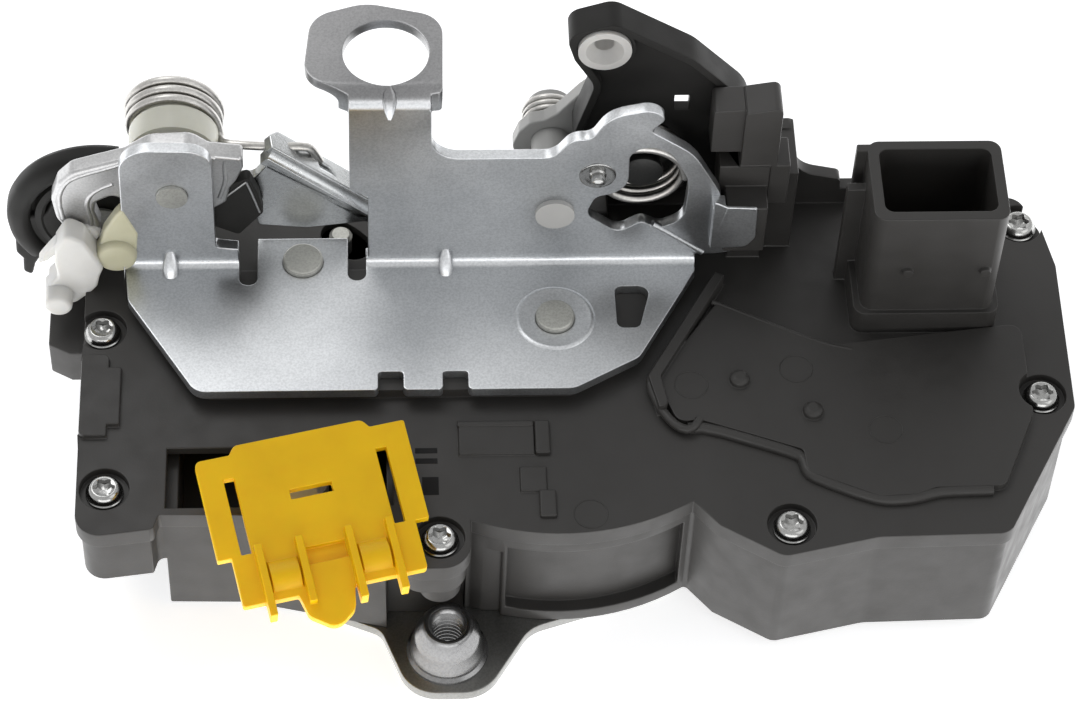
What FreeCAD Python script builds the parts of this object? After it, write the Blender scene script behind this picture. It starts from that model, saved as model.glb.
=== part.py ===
import FreeCAD, Part
import math
import os

from FreeCAD import Vector

# Vehicle door latch with a built-in lock actuator, in millimetres.
# +X runs along the bracket's bend line, +Y towards the bracket's upright web, +Z up.
# The origin is where the fork bolt's pivot axis meets the mounting face of the steel face plate.

os.makedirs("parts", exist_ok=True)

# Heights of the stack, from the mounting face up
plate_thickness = 2.0
pocket_height = 10.4
floor_thickness = 2.0
chamber_height = 10.2
cover_height = 3.4
flange_seat_height = 2.0
sheet_thickness = 2.0

case_bottom = plate_thickness
pocket_top = case_bottom + pocket_height
chamber_floor = pocket_top + floor_thickness
seam_level = chamber_floor + chamber_height
cover_top = seam_level + cover_height
flange_bottom = cover_top + flange_seat_height
flange_top = flange_bottom + sheet_thickness

# Housing outline
case_left = -76.0
case_right = 83.2
case_back = 27.6
case_front_left = -34.7
arc_radius = 39.2
wall_thickness = 2.2
rim_overhang = 0.7
block_floor = 2.2
block_inner_x = 27.0
overhang_x = -62.4
overhang_height = 12.6
arc_recess = 2.2
arc_lip_height = 2.6
arc_band_height = 3.0
seal_inset = 0.25
seal_width = 0.65
seal_height = 1.2
window_left = -62.0
window_right = -26.5
window_front = -33.4
window_back = -22.0

# Fasteners
screw_points = [(78.4, 21.9), (78.1, -13.4), (35.8, -38.0), (-19.3, -39.6), (-71.6, -29.7), (-73.0, 1.6)]
screw_head_radius = 3.0
screw_head_height = 2.2
screw_shank_radius = 1.3
screw_length = 9.0
screw_boss_radius = 3.4
screw_seat_depth = 1.4
fit_gap = 0.3
running_gap = 0.05

# Mounting nuts
nut_points = [(-18.0, -44.0), (-58.0, 29.0), (20.0, 29.0)]
nut_thread_radius = 2.5
nut_rim_radius = 5.2
nut_base_radius = 6.6
nut_height = 10.0
nut_shank_radius = 4.4
lobe_radius = 8.0

# Striker mouth
mouth_x = -20.0
mouth_width = 15.0
mouth_end_y = -4.0
mouth_back = 42.0

# Fork bolt and pawl
shoulder_radius = 4.2
fork_pivot_radius = 3.15
pawl_x = -40.6
pawl_y = 12.0
pawl_pivot_radius = 3.25
rivet_head_height = 1.0
fork_radius = 29.0
fork_hub_radius = 12.0
fork_slot_width = 11.5
fork_slot_angle = 132.0
fork_thickness = 4.6
fork_skin = 1.0
fork_clearance = 0.6
pawl_thickness = 4.6
pawl_tip_angle = 205.0
pawl_hub_radius = 7.0
lift_pin_x = -34.5
lift_pin_y = 20.6
lift_pin_radius = 1.9

# Back bracket
web_front = 11.8
bend_radius = 1.4
web_back = web_front + sheet_thickness
tab_top = 73.0
tab_hole_x = -26.9
tab_hole_y = 21.0
tab_hole_radius = 6.7

# Pivots carried by the web
release_x = -61.0
release_z = 49.4
release_pivot_radius = 2.5
link_x = 0.0
link_z = 44.5
link_pivot_radius = 2.4
rivet_head_radius = 3.15
outside_x = 14.0
outside_z = 49.5
outside_pin_radius = 3.0
anchor_x = 6.5
anchor_z = 53.7

# Levers behind the web, along Y
lever_gap = 0.4
inside_lever_thickness = 3.2
release_lever_thickness = 2.0
bush_length = 4.6
bush_radius = 7.2
torsion_wire = 1.2
torsion_radius = 7.3
torsion_turns = 3.5
outside_lever_front = 20.9
outside_lever_thickness = 5.4
outside_hub_radius = 5.4
link_lever_front = 26.9
link_lever_thickness = 2.5
tower_front = 26.8
tower_thickness = 2.4
rod_bush_x = 7.2
rod_bush_z = 73.4
rod_bush_radius = 4.2
rod_hole_radius = 1.6
clip_pivot_x = -75.2
clip_pivot_z = 37.6
clip_pin_radius = 2.0
key_x = -73.5
key_z = 33.0
key_radius = 15.4
key_front = 19.6
key_depth = 4.6
key_hub_radius = 4.0
key_pin_radius = 2.0

# Lock drive
motor_x = 59.5
motor_width = 22.0
motor_height = 17.6
motor_length = 25.0
motor_front = -33.1
worm_pitch = 3.0
worm_length = 17.0
worm_radius = 5.0
worm_root_radius = 3.4
worm_shaft_radius = 1.5
wheel_teeth = 24
wheel_width = 5.0
wheel_y = 3.0
axle_radius = 1.5
pinion_teeth = 10
pinion_radius = 5.0
slider_travel = 5.236
lock_lever_x = -40.9
lock_lever_y = -21.8
lock_arm_angle = 79.5
lock_arm_reach = 14.36
lock_tip_angle = -87.1
lock_tip_reach = 9.4
slider_front = -13.5
slider_back = -8.5

# Connector socket
socket_left = 49.5
socket_right = 71.0
socket_front = 0.2
socket_back = 16.5
socket_top = 56.0
socket_wall = 1.8
terminal_width = 2.2
terminal_depth = 0.7
terminal_top = 44.0

# Transport clip
clip_yaw = 13.4
clip_pitch = 14.0
clip_thickness = 1.8
clip_x = -38.0
clip_y = -39.0
clip_z = 31.0
clip_half_width = 16.7
clip_centre_half = 10.2
clip_shoulder = 13.6
clip_ear_low = -3.1
clip_low = -11.2
clip_rib_half = 0.6


# Places that follow from the values above
fork_bottom = plate_thickness + fork_clearance
inside_front = web_back + lever_gap
release_front = inside_front + inside_lever_thickness + lever_gap
bush_front = release_front + release_lever_thickness + fit_gap
bush_back = bush_front + bush_length
coil_pitch = torsion_wire + 0.15
release_spring_back = bush_back + fit_gap + coil_pitch * torsion_turns + torsion_wire
lever_back_stop = outside_lever_front - fit_gap
motor_axis_z = case_bottom + block_floor + fit_gap + motor_height / 2
wheel_radius = wheel_teeth * worm_pitch / (2 * math.pi)
wheel_x = motor_x - wheel_radius - (worm_radius + worm_root_radius) / 2
wheel_bottom = motor_axis_z - wheel_width / 2
wheel_top = motor_axis_z + wheel_width / 2
slider_bottom = wheel_top + 3.4
slider_thickness = 2.4
slider_top = slider_bottom + slider_thickness
carrier_bottom = slider_top + 1.0
carrier_thickness = 1.6
rack_line = wheel_y - pinion_radius
rack_pitch = 2 * math.pi * pinion_radius / pinion_teeth
lock_lever_bottom = chamber_floor + 0.6
lock_lever_thickness = 2.8


def vec(x, y, z=0.0):
    return Vector(x, y, z)


def box(x0, x1, y0, y1, z0, z1):
    return Part.makeBox(x1 - x0, y1 - y0, z1 - z0, vec(x0, y0, z0))


def post_z(x, y, radius, z0, z1):
    return Part.makeCylinder(radius, z1 - z0, vec(x, y, z0), vec(0, 0, 1))


def post_y(x, z, radius, y0, y1):
    return Part.makeCylinder(radius, y1 - y0, vec(x, y0, z), vec(0, 1, 0))


def post_x(y, z, radius, x0, x1):
    return Part.makeCylinder(radius, x1 - x0, vec(x0, y, z), vec(1, 0, 0))


def fuse(shapes):
    shape = shapes[0]
    for other in shapes[1:]:
        shape = shape.fuse(other)
    return shape.removeSplitter()


def cut(shape, tools):
    for tool in tools:
        shape = shape.cut(tool)
    return shape


def rounded_wire(points, place):
    """Closed outline; a point is (a, b) or (a, b, corner radius), put in space by place(a, b)."""
    count = len(points)
    starts = []
    for index in range(count):
        here = Vector(points[index][0], points[index][1], 0)
        before = Vector(points[index - 1][0], points[index - 1][1], 0)
        after = Vector(points[(index + 1) % count][0], points[(index + 1) % count][1], 0)
        radius = points[index][2] if len(points[index]) > 2 else 0.0
        if radius <= 0:
            starts.append((here, None, here))
            continue
        back = (before - here).normalize()
        ahead = (after - here).normalize()
        half = back.getAngle(ahead) / 2
        reach = radius / math.tan(half)
        middle = (back + ahead).normalize()
        centre = here + middle * (radius / math.sin(half))
        starts.append((here + back * reach, centre - middle * radius, here + ahead * reach))
    edges = []
    for index in range(count):
        first, peak, last = starts[index]
        if peak is not None:
            edges.append(Part.Arc(place(first.x, first.y), place(peak.x, peak.y), place(last.x, last.y)).toShape())
        onward = starts[(index + 1) % count][0]
        if (onward - last).Length > 1e-6:
            edges.append(Part.LineSegment(place(last.x, last.y), place(onward.x, onward.y)).toShape())
    return Part.Wire(edges)


def plate_z(points, z0, z1):
    wire = rounded_wire(points, lambda a, b: vec(a, b, z0))
    return Part.Face(wire).extrude(vec(0, 0, z1 - z0))


def plate_y(points, y0, y1):
    wire = rounded_wire(points, lambda a, b: vec(a, y0, b))
    return Part.Face(wire).extrude(vec(0, y1 - y0, 0))


def plate_x(points, x0, x1):
    wire = rounded_wire(points, lambda a, b: vec(x0, a, b))
    return Part.Face(wire).extrude(vec(x1 - x0, 0, 0))


def turned(shape, x, y, angle):
    copy = shape.copy()
    copy.rotate(vec(x, y, 0), vec(0, 0, 1), angle)
    return copy


def polar(radius, angle):
    return (radius * math.cos(math.radians(angle)), radius * math.sin(math.radians(angle)))


def polyhedron(rings):
    """Closed solid through rings of points that follow each other along a path."""
    faces = []
    count = len(rings[0])
    for ring, onward in zip(rings, rings[1:]):
        for index in range(count):
            a, b = ring[index], ring[(index + 1) % count]
            c, d = onward[(index + 1) % count], onward[index]
            faces.append(Part.Face(Part.makePolygon([a, b, c, a])))
            faces.append(Part.Face(Part.makePolygon([a, c, d, a])))
    faces.append(Part.Face(Part.makePolygon(rings[0] + rings[0][:1])))
    faces.append(Part.Face(Part.makePolygon(rings[-1] + rings[-1][:1])))
    solid = Part.makeSolid(Part.makeShell(faces))
    if solid.Volume < 0:
        solid.reverse()
    return solid


def helix(section, turns, pitch, steps):
    """Sweep of a section of (radius, height) points round Z, in short straight steps."""
    rings = []
    for step in range(int(turns * steps) + 1):
        angle = 360.0 * step / steps
        rise = pitch * step / steps
        rings.append([vec(*polar(radius, angle), height + rise) for radius, height in section])
    return polyhedron(rings)


def coil(radius, wire, turns, pitch, axis_point, along_y):
    """Spring wire with a six-sided section, about Z or laid along Y, moved to axis_point."""
    corners = [polar(wire / 2, 60 * index) for index in range(6)]
    shape = helix([(radius + a, b) for a, b in corners], turns, pitch, 16)
    if along_y:
        shape.rotate(vec(0, 0, 0), vec(1, 0, 0), -90)
    shape.translate(axis_point)
    return shape


def save(name, shape):
    shape.exportStep("parts/" + name + ".step")


# Housing outline, shared by the case and the cover
def housing_wire(level):
    place = lambda a, b: vec(a, b, level)
    arc_end = polar(arc_radius, -58.2)
    arc_start = polar(arc_radius, -111.5)
    points = [
        arc_end, (24.5, -38.0), (34.2, -44.0, 3), (49.3, -40.6, 6), (70.0, -40.2, 3),
        (case_right, -16.0, 3), (case_right + 0.4, 13.0, 3), (case_right - 1.2, 21.6, 2),
        (case_right - 4.6, case_back, 3), (-60.0, case_back, 3), (-66.0, 19.0, 2), (case_left, 19.0, 3),
        (case_left, -39.0, 4), (-63.8, -37.4, 1), (-63.0, case_front_left, 0.6), (-50.0, -35.0, 10),
        (-33.0, -39.0, 4), (-27.0, -40.4, 2), (-24.8, -45.4, 4.5), (-14.6, -45.4, 4.5), arc_start,
    ]
    first = place(*arc_start)
    last = place(*arc_end)
    kept = []
    for edge in rounded_wire(points, place).Edges:
        ends = [vertex.Point for vertex in edge.Vertexes]
        near = [end for end in ends if min((end - first).Length, (end - last).Length) < 1e-6]
        if len(near) < 2:
            kept.append(edge)
    kept.append(Part.Arc(first, place(*polar(arc_radius, -85)), last).toShape())
    return Part.Wire(Part.__sortEdges__(kept))


def housing_block(inset, z0, z1):
    face = Part.Face(housing_wire(z0))
    if inset > 0:
        face = face.makeOffset2D(-inset)
    return face.extrude(vec(0, 0, z1 - z0))


def face_plate():
    front_x, front_y = nut_points[0]
    left_x, left_y = nut_points[1]
    right_x, right_y = nut_points[2]
    reach = lobe_radius
    outline = [
        (front_x - 10.6, front_y + 4.0, 3), (front_x - 6.0, front_y - reach, reach - 1.6),
        (front_x + 6.0, front_y - reach, reach - 1.6), (front_x + 13.4, front_y + 4.0, 6), (20.0, -32.0, 6),
        (28.0, 0.0, 8), (right_x + reach, right_y + reach, reach - 0.5),
        (right_x - reach, right_y + reach, reach - 0.5), (right_x - reach, 18.0, 4), (0.0, 33.0, 6),
        (left_x - reach, left_y + reach, reach - 0.5), (left_x - 4.0, 0.0, 8), (-61.0, -31.0, 3),
        (-45.0, -33.0, 8),
    ]
    plate = plate_z(outline, 0, plate_thickness)
    half = mouth_width / 2
    mouth = box(mouth_x - half, mouth_x + half, mouth_end_y, mouth_back, -1, plate_thickness + 1)
    flare = plate_z([(mouth_x - half, 26), (mouth_x - half - 6, mouth_back), (mouth_x + half + 6, mouth_back),
                     (mouth_x + half, 26)], -1, plate_thickness + 1)
    tools = [mouth, flare, post_z(mouth_x, mouth_end_y, half, -1, plate_thickness + 1)]
    tools.append(post_z(0, 0, fork_pivot_radius, -1, plate_thickness + 1))
    tools.append(post_z(pawl_x, pawl_y, pawl_pivot_radius, -1, plate_thickness + 1))
    for x, y in nut_points:
        tools.append(post_z(x, y, nut_shank_radius, -1, plate_thickness + 1))
    return cut(plate, tools)


def mounting_nuts():
    nuts = []
    for x, y in nut_points:
        base = plate_thickness
        profile = [
            (nut_thread_radius, 0.0), (nut_shank_radius, 0.0), (nut_shank_radius, base),
            (nut_base_radius, base), (nut_base_radius, base + 0.9), (nut_base_radius - 0.7, base + 1.4),
            (nut_rim_radius + 0.2, nut_height - 2.2), (nut_rim_radius - 0.6, nut_height - 0.5),
            (nut_rim_radius - 1.5, nut_height), (nut_thread_radius + 0.6, nut_height),
            (nut_thread_radius, nut_height - 0.6),
        ]
        wire = rounded_wire(profile, lambda a, b: vec(x + a, y, b))
        nuts.append(Part.Face(wire).revolve(vec(x, y, 0), vec(0, 0, 1), 360))
    return Part.makeCompound(nuts)


def pocket_tools():
    """Spaces of the latch pocket, open towards the face plate."""
    low = case_bottom - 1
    reach = fork_radius + 1.2
    sweep = post_z(0, 0, reach, low, pocket_top).common(box(-reach - 1, 6, -reach - 1, reach + 1, low, pocket_top))
    hub = post_z(0, 0, fork_hub_radius + 1.2, low, pocket_top)
    pawl_space = plate_z([
        (pawl_x - 10, pawl_y + 8, 4), (lift_pin_x - 7, lift_pin_y + 5, 3), (lift_pin_x + 5.6, lift_pin_y + 5, 3),
        (-26.0, pawl_y, 3), (-20.0, -12.0), (-22.0, -23.0, 3), (-38.0, -22.0, 6), (pawl_x - 10, pawl_y - 8, 4),
    ], low, pocket_top)
    half = mouth_width / 2 + 0.6
    mouth = box(mouth_x - half, mouth_x + half, mouth_end_y, mouth_back, low, pocket_top)
    mouth_end = post_z(mouth_x, mouth_end_y, half, low, pocket_top)
    return [sweep, hub, pawl_space, mouth, mouth_end, fork_stop()]


def lift_slot(z0, z1):
    """Arc-shaped way that the pawl's lift pin swings in."""
    reach = math.hypot(lift_pin_x - pawl_x, lift_pin_y - pawl_y)
    start = math.degrees(math.atan2(lift_pin_y - pawl_y, lift_pin_x - pawl_x))
    posts = []
    for step in range(-17, 6, 4):
        dx, dy = polar(reach, start + step)
        posts.append(post_z(pawl_x + dx, pawl_y + dy, lift_pin_radius + 0.9, z0, z1))
    return fuse(posts)


def latch_case():
    inset = rim_overhang
    body = housing_block(inset, case_bottom, seam_level)
    bulge = post_z(0, 0, fork_radius + 4.0, case_bottom, chamber_floor)
    bulge = bulge.common(box(-34, 12.6, 18, 40, case_bottom, chamber_floor))
    body = body.fuse(bulge)

    # The left end hangs over, and a notch leaves room for the front nut
    under = case_bottom + overhang_height
    front_x, front_y = nut_points[0]
    tools = [
        box(case_left - 5, overhang_x, -60, 40, case_bottom - 1, under),
        box(front_x - 9.6, front_x + 8.6, -60, front_y + nut_base_radius + 0.9, case_bottom - 1, seam_level - 4.6),
    ]
    for x, y in nut_points[1:]:
        tools.append(post_z(x, y, nut_base_radius + 0.8, case_bottom - 1, nut_height + 1))
        tools.append(box(x - nut_base_radius - 0.8, x + nut_base_radius + 0.8, y, y + 20, case_bottom - 1, nut_height + 1))

    # Recess round the arc, between its lip and the band under the cover
    ring = post_z(0, 0, arc_radius + 3, case_bottom + arc_lip_height, seam_level - arc_band_height)
    ring = ring.cut(post_z(0, 0, arc_radius - inset - arc_recess, case_bottom, seam_level))
    tools.append(ring.common(box(-8.6, 19.4, -50, -30, 0, seam_level)))
    tools += pocket_tools()

    # Chambers for the lock drive, open towards the cover
    wall = inset + wall_thickness
    high = seam_level + 1
    inner = housing_block(wall, chamber_floor, high)
    arc_space = post_z(0, 0, arc_radius - inset - arc_recess - wall_thickness, chamber_floor, high)
    main_space = box(overhang_x + wall_thickness, case_right, window_front, case_back, chamber_floor, high)
    main_space = main_space.cut(box(-27.5, 60, -50, -20, 0, high + 1))
    block_space = box(block_inner_x + wall_thickness, case_right + 2, -50, 40, chamber_floor, high)
    tools.append(inner.common(fuse([main_space, arc_space, block_space])))
    deep = housing_block(wall, case_bottom + block_floor, chamber_floor + 1)
    tools.append(deep.common(box(block_inner_x + wall_thickness, case_right + 2, -50, 40, 0, high)))
    body = cut(body, tools)

    # Bosses for the pins, the screws, the gear axle and the motor cradle
    bosses = [post_z(0, 0, 6.4, pocket_top, seam_level), post_z(pawl_x, pawl_y, 6.6, pocket_top, seam_level)]
    bosses.append(lift_slot_boss())
    for x, y in screw_points:
        bosses.append(post_z(x, y, screw_boss_radius, seam_level - screw_length - 1, seam_level))
    low = case_bottom + block_floor
    bosses.append(post_z(wheel_x, wheel_y, 3.4, low, wheel_bottom - 0.4))
    for y in (motor_front + 5, motor_front + motor_length - 5):
        cradle = box(motor_x - 8, motor_x + 8, y - 1, y + 1, low - 0.2, motor_axis_z - motor_height / 2)
        bosses.append(cradle)
    stop_y = motor_front + motor_length + 0.2
    bosses.append(box(motor_x - 9, motor_x + 9, stop_y, stop_y + 2.0, low - 0.2, motor_axis_z - 5.4))
    end_y = motor_front + motor_length + worm_length + 3.4
    bosses.append(box(motor_x - 4, motor_x + 4, end_y, end_y + 3, low - 0.2, carrier_bottom))
    bosses.append(box(73.0, 75.0, -5.0, 21.0, low - 0.2, carrier_bottom))
    for x in (-24.0, 12.0, 27.0):
        bosses.append(box(x - 1, x + 1, slider_front - 1, slider_back + 1, chamber_floor - 0.2, slider_bottom - fit_gap))
    bosses.append(post_z(lock_lever_x, lock_lever_y, 2.0, chamber_floor - 0.2, slider_bottom - 1.0))
    keep = housing_block(inset, case_bottom, seam_level)
    body = body.fuse([boss.common(keep) for boss in bosses])

    holes = [
        post_z(0, 0, shoulder_radius, case_bottom - 1, seam_level + 1),
        post_z(pawl_x, pawl_y, shoulder_radius, case_bottom - 1, seam_level + 1),
        lift_slot(pocket_top - 1, seam_level + 1),
        post_y(motor_x, motor_axis_z, worm_shaft_radius + running_gap, end_y - 1, end_y + 4),
        post_z(wheel_x, wheel_y, axle_radius, low, wheel_bottom + 1),
    ]
    for x, y in screw_points:
        holes.append(post_z(x, y, screw_shank_radius, seam_level - screw_length + 1, seam_level + 1))
    groove = housing_block(inset + seal_inset, seam_level - seal_height, seam_level + 1)
    groove = groove.cut(housing_block(inset + seal_inset + seal_width, seam_level - seal_height - 1, seam_level + 2))
    holes.append(groove)
    body = cut(body, holes)

    # Side lug under the key lever, and the arm that carries it
    lug = box(case_left - 6.2, case_left + 1.2, 1.4, 18.0, under, 22.0).cut(
        plate_z([(case_left - 8, 0), (case_left - 8, 4.4), (case_left - 1, 0.4), (case_left - 1, 0)], under - 1, 23))
    arm_front = case_back + fit_gap
    arm_back = arm_front + 2.0
    hub = key_hub_radius
    arm = plate_y([
        (-55.0, under), (-55.0, 27.0, 3), (key_x + hub, key_z + hub, 3.5), (key_x - hub, key_z + hub, 3.8),
        (key_x - hub, key_z - hub, 3.8), (-64.5, under, 3),
    ], arm_front, arm_back)
    boss = post_y(key_x, key_z, hub, key_front + key_depth + fit_gap, arm_back)
    root = box(-60.0, -55.0, case_back - wall_thickness - 0.6, arm_back, under, 23.0)
    arm = fuse([arm, boss, root]).cut(post_y(key_x, key_z, key_pin_radius, 20, 40))
    return body.fuse([lug, arm]).removeSplitter()


def lift_slot_boss():
    space = lift_slot(pocket_top, seam_level)
    box_space = space.BoundBox
    return box(box_space.XMin - 1.4, box_space.XMax + 1.4, box_space.YMin - 1.4, box_space.YMax + 1.4,
               pocket_top, seam_level)


def cover_seal():
    inset = rim_overhang + seal_inset
    ring = housing_block(inset, seam_level - seal_height, seam_level)
    return ring.cut(housing_block(inset + seal_width, seam_level - seal_height - 1, seam_level + 1))


def socket_shell():
    outer = plate_z([
        (socket_left, socket_front, 2), (socket_right, socket_front, 2), (socket_right, socket_back, 2),
        (socket_left, socket_back, 2),
    ], cover_top - 1.0, socket_top)
    base = plate_z([
        (socket_left - 1.2, socket_front - 0.8, 2), (socket_right + 1.0, socket_front - 0.8, 2),
        (socket_right + 1.0, socket_back + 1, 2), (socket_left - 1.2, socket_back + 1, 2),
    ], cover_top - 1.0, cover_top + 5.0)
    rib_left = box(socket_left - 3.0, socket_left + 1, socket_back - 6, socket_back - 4.4, cover_top - 1, socket_top - 5)
    rib_back = box(socket_left - 1.6, socket_left + 1, socket_back - 2.0, socket_back - 0.6, cover_top - 1, socket_top)
    shell = outer.fuse([base, rib_left, rib_back])
    for x in (55.9, 68.4):
        shell = shell.fuse(post_y(x, 43.2, 0.9, socket_front - 0.8, socket_front + 1))
    return shell


def socket_cavity():
    wall = socket_wall
    return plate_z([
        (socket_left + wall, socket_front + wall, 1.5), (socket_right - wall, socket_front + wall, 1.5),
        (socket_right - wall, socket_back - wall, 1.5), (socket_left + wall, socket_back - wall, 1.5),
    ], cover_top + 6.0, socket_top + 1)


def tower():
    """Wall behind the levers, with the guide that grips the web's curved arm."""
    back = tower_front + tower_thickness
    wall = plate_y([
        (9.4, seam_level), (9.4, outside_z + 4.4, 4.3), (18.6, outside_z + 4.4, 4.3), (19.0, 44.0, 3),
        (34.0, 43.0, 2), (35.8, 47.1, 1), (39.6, 47.1, 1), (40.6, 36.0, 5), (48.4, 34.0, 1), (48.5, 31.6),
        (53.0, 31.6), (53.0, seam_level),
    ], tower_front, back)
    side = box(33.6, 39.6, 17.6, back, cover_top - 1, 46.9)
    middle = box(31.6, 37.6, 14.5, lever_back_stop, 43.0, 52.4)
    block_high = plate_y([(29.5, 52.2), (29.5, 65.0, 0.6), (35.4, 66.2, 1.2), (35.4, 52.2)], 14.5, lever_back_stop)
    block_low = plate_y([(24.6, 54.8), (24.6, 64.6, 0.6), (29.6, 65.0), (29.6, 54.8)], 15.4, lever_back_stop)
    hook = box(26.2, 34.4, 14.4, lever_back_stop, 44.8, 52.4)
    hook_top = box(27.4, 34.0, web_front - 2.2, 14.6, 44.8, 47.6)
    hook_lip = box(27.4, 34.0, web_front - 2.2, web_front - fit_gap, 36.8, 47.6)
    rib = box(29.0, 34.4, 15.4, 17.4, cover_top - 1, 45.0)
    return fuse([wall, side, middle, block_high, block_low, hook, hook_top, hook_lip, rib])


def actuator_cover():
    body = housing_block(0, seam_level, cover_top)
    hollow = housing_block(rim_overhang + wall_thickness, seam_level - 1, cover_top - 1.8)
    body = body.cut(hollow)

    # Raised seat of the bracket and the raised field towards the socket
    seat = plate_z([
        (-67.8, 12.0), (-67.6, 4.6, 2), (-56.4, -12.6, 3), (2.2, -12.6, 3), (11.8, -7.2, 3), (22.0, 9.6), (22.2, 12.0),
    ], cover_top - 1, flange_bottom)
    seat = seat.fuse(box(-48.0, -33.4, 11.0, 16.4, cover_top - 1, flange_bottom))
    field = plate_z([
        (15.6, -10.4, 3), (19.0, -19.0, 2), (22.6, -18.6, 1), (38.5, -24.6, 1), (38.9, -28.8, 1), (50.0, -33.8, 2),
        (56.0, -33.4, 2), (59.0, -32.2, 2), (70.0, -32.0, 2), (76.0, -18.0, 3), (76.0, 0.0, 2), (44.0, -4.0, 2),
        (26.6, 4.8, 1),
    ], cover_top - 1, cover_top + 1.4)
    rim_left = plate_z([
        (-76.0, -20.0, 1), (-76.0, -4.0, 1), (-71.6, -4.0, 1), (-71.6, -6.6), (-69.6, -6.6), (-69.6, -17.8),
        (-71.6, -17.8), (-71.6, -20.0),
    ], cover_top - 1, cover_top + 1.0)
    edge_rib = plate_z([
        (26.6, 10.4), (28.2, 9.6), (16.6, -10.6, 1), (17.6, -16.6, 1), (16.0, -16.8), (14.6, -10.6, 1),
    ], cover_top - 1, cover_top + 2.6)
    shapes = [seat, field, rim_left, edge_rib, socket_shell(), tower()]
    for x, y in ((29.3, -11.0), (40.6, -17.4)):
        shapes.append(post_z(x, y, 1.6, cover_top, cover_top + 2.2))
        shapes.append(Part.makeCone(1.6, 0.9, 0.5, vec(x, y, cover_top + 2.2), vec(0, 0, 1)))
    for x, y, length, depth in ((-10.0, -21.0, 12.0, 6.4), (-4.4, -29.0, 4.2, 4.6)):
        shapes.append(box(x - length / 2, x + length / 2, y - depth / 2, y + depth / 2, cover_top - 1, cover_top + 0.5))
    body = body.fuse(shapes)

    tools = [
        socket_cavity(),
        post_z(0, 0, shoulder_radius, seam_level - 1, flange_bottom + 1),
        post_z(pawl_x, pawl_y, shoulder_radius, seam_level - 1, flange_bottom + 1),
        lift_slot(seam_level - 1, cover_top + 3),
        box(window_left, window_right, window_front, window_back, seam_level - 1, cover_top + 3),
        post_y(outside_x, outside_z, outside_pin_radius, 20, 40),
    ]
    for x, y in screw_points:
        tools.append(post_z(x, y, screw_shank_radius, seam_level - 1, cover_top + 5))
        tools.append(post_z(x, y, screw_head_radius + 0.9, cover_top - screw_seat_depth, cover_top + 8))
    for x, y in terminal_points():
        tools.append(box(x - terminal_width / 2, x + terminal_width / 2, y - terminal_depth / 2, y + terminal_depth / 2,
                         seam_level - 1, cover_top + 8))
    bosses = []
    for x, y in screw_points:
        bosses.append(post_z(x, y, screw_boss_radius, seam_level, cover_top - screw_seat_depth))
    bosses.append(post_z(0, 0, 6.4, seam_level, cover_top))
    bosses.append(post_z(pawl_x, pawl_y, 6.6, seam_level, cover_top))
    keep = housing_block(0, seam_level, cover_top)
    body = body.fuse([boss.common(keep) for boss in bosses])
    return cut(body, tools).removeSplitter()


def cover_screws():
    screws = []
    for x, y in screw_points:
        seat = cover_top - screw_seat_depth
        head = post_z(x, y, screw_head_radius, seat, seat + 1.2)
        dome = Part.makeCone(screw_head_radius, screw_head_radius - 1.1, screw_head_height - 1.2, vec(x, y, seat + 1.2))
        head = head.fuse(dome)
        recess = socket_post(x, y, 1.7, seat + 0.9, seat + screw_head_height + 1)
        shank = post_z(x, y, screw_shank_radius, seam_level - screw_length + 1.2, seat + 0.1)
        screws.append(head.fuse(shank).cut(recess).removeSplitter())
    return Part.makeCompound(screws)


def socket_post(x, y, radius, z0, z1):
    """Driver socket of the screw heads; its lobes are left to the finish."""
    corners = [polar(radius, 60 * index) for index in range(6)]
    return plate_z([(x + a, y + b) for a, b in corners], z0, z1)


def shoulder_pin(x, y, end_radius):
    lower = post_z(x, y, end_radius, 0, plate_thickness)
    middle = post_z(x, y, shoulder_radius, plate_thickness, flange_bottom)
    upper = post_z(x, y, end_radius, flange_bottom, flange_top + rivet_head_height - 0.4)
    crown = Part.makeCone(end_radius, end_radius - 0.5, 0.4, vec(x, y, flange_top + rivet_head_height - 0.4))
    return fuse([lower, middle, upper, crown])


def bracket_profile():
    """Folded sheet seen along X: seat flange, upright web and top tab."""
    outer = bend_radius + sheet_thickness
    far = 34.0
    return plate_x([
        (-20.0, flange_bottom), (web_back, flange_bottom, outer), (web_back, tab_top - sheet_thickness, bend_radius),
        (far, tab_top - sheet_thickness), (far, tab_top), (web_front, tab_top, outer),
        (web_front, flange_top, bend_radius), (-20.0, flange_top),
    ], -90.0, 45.0)


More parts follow.
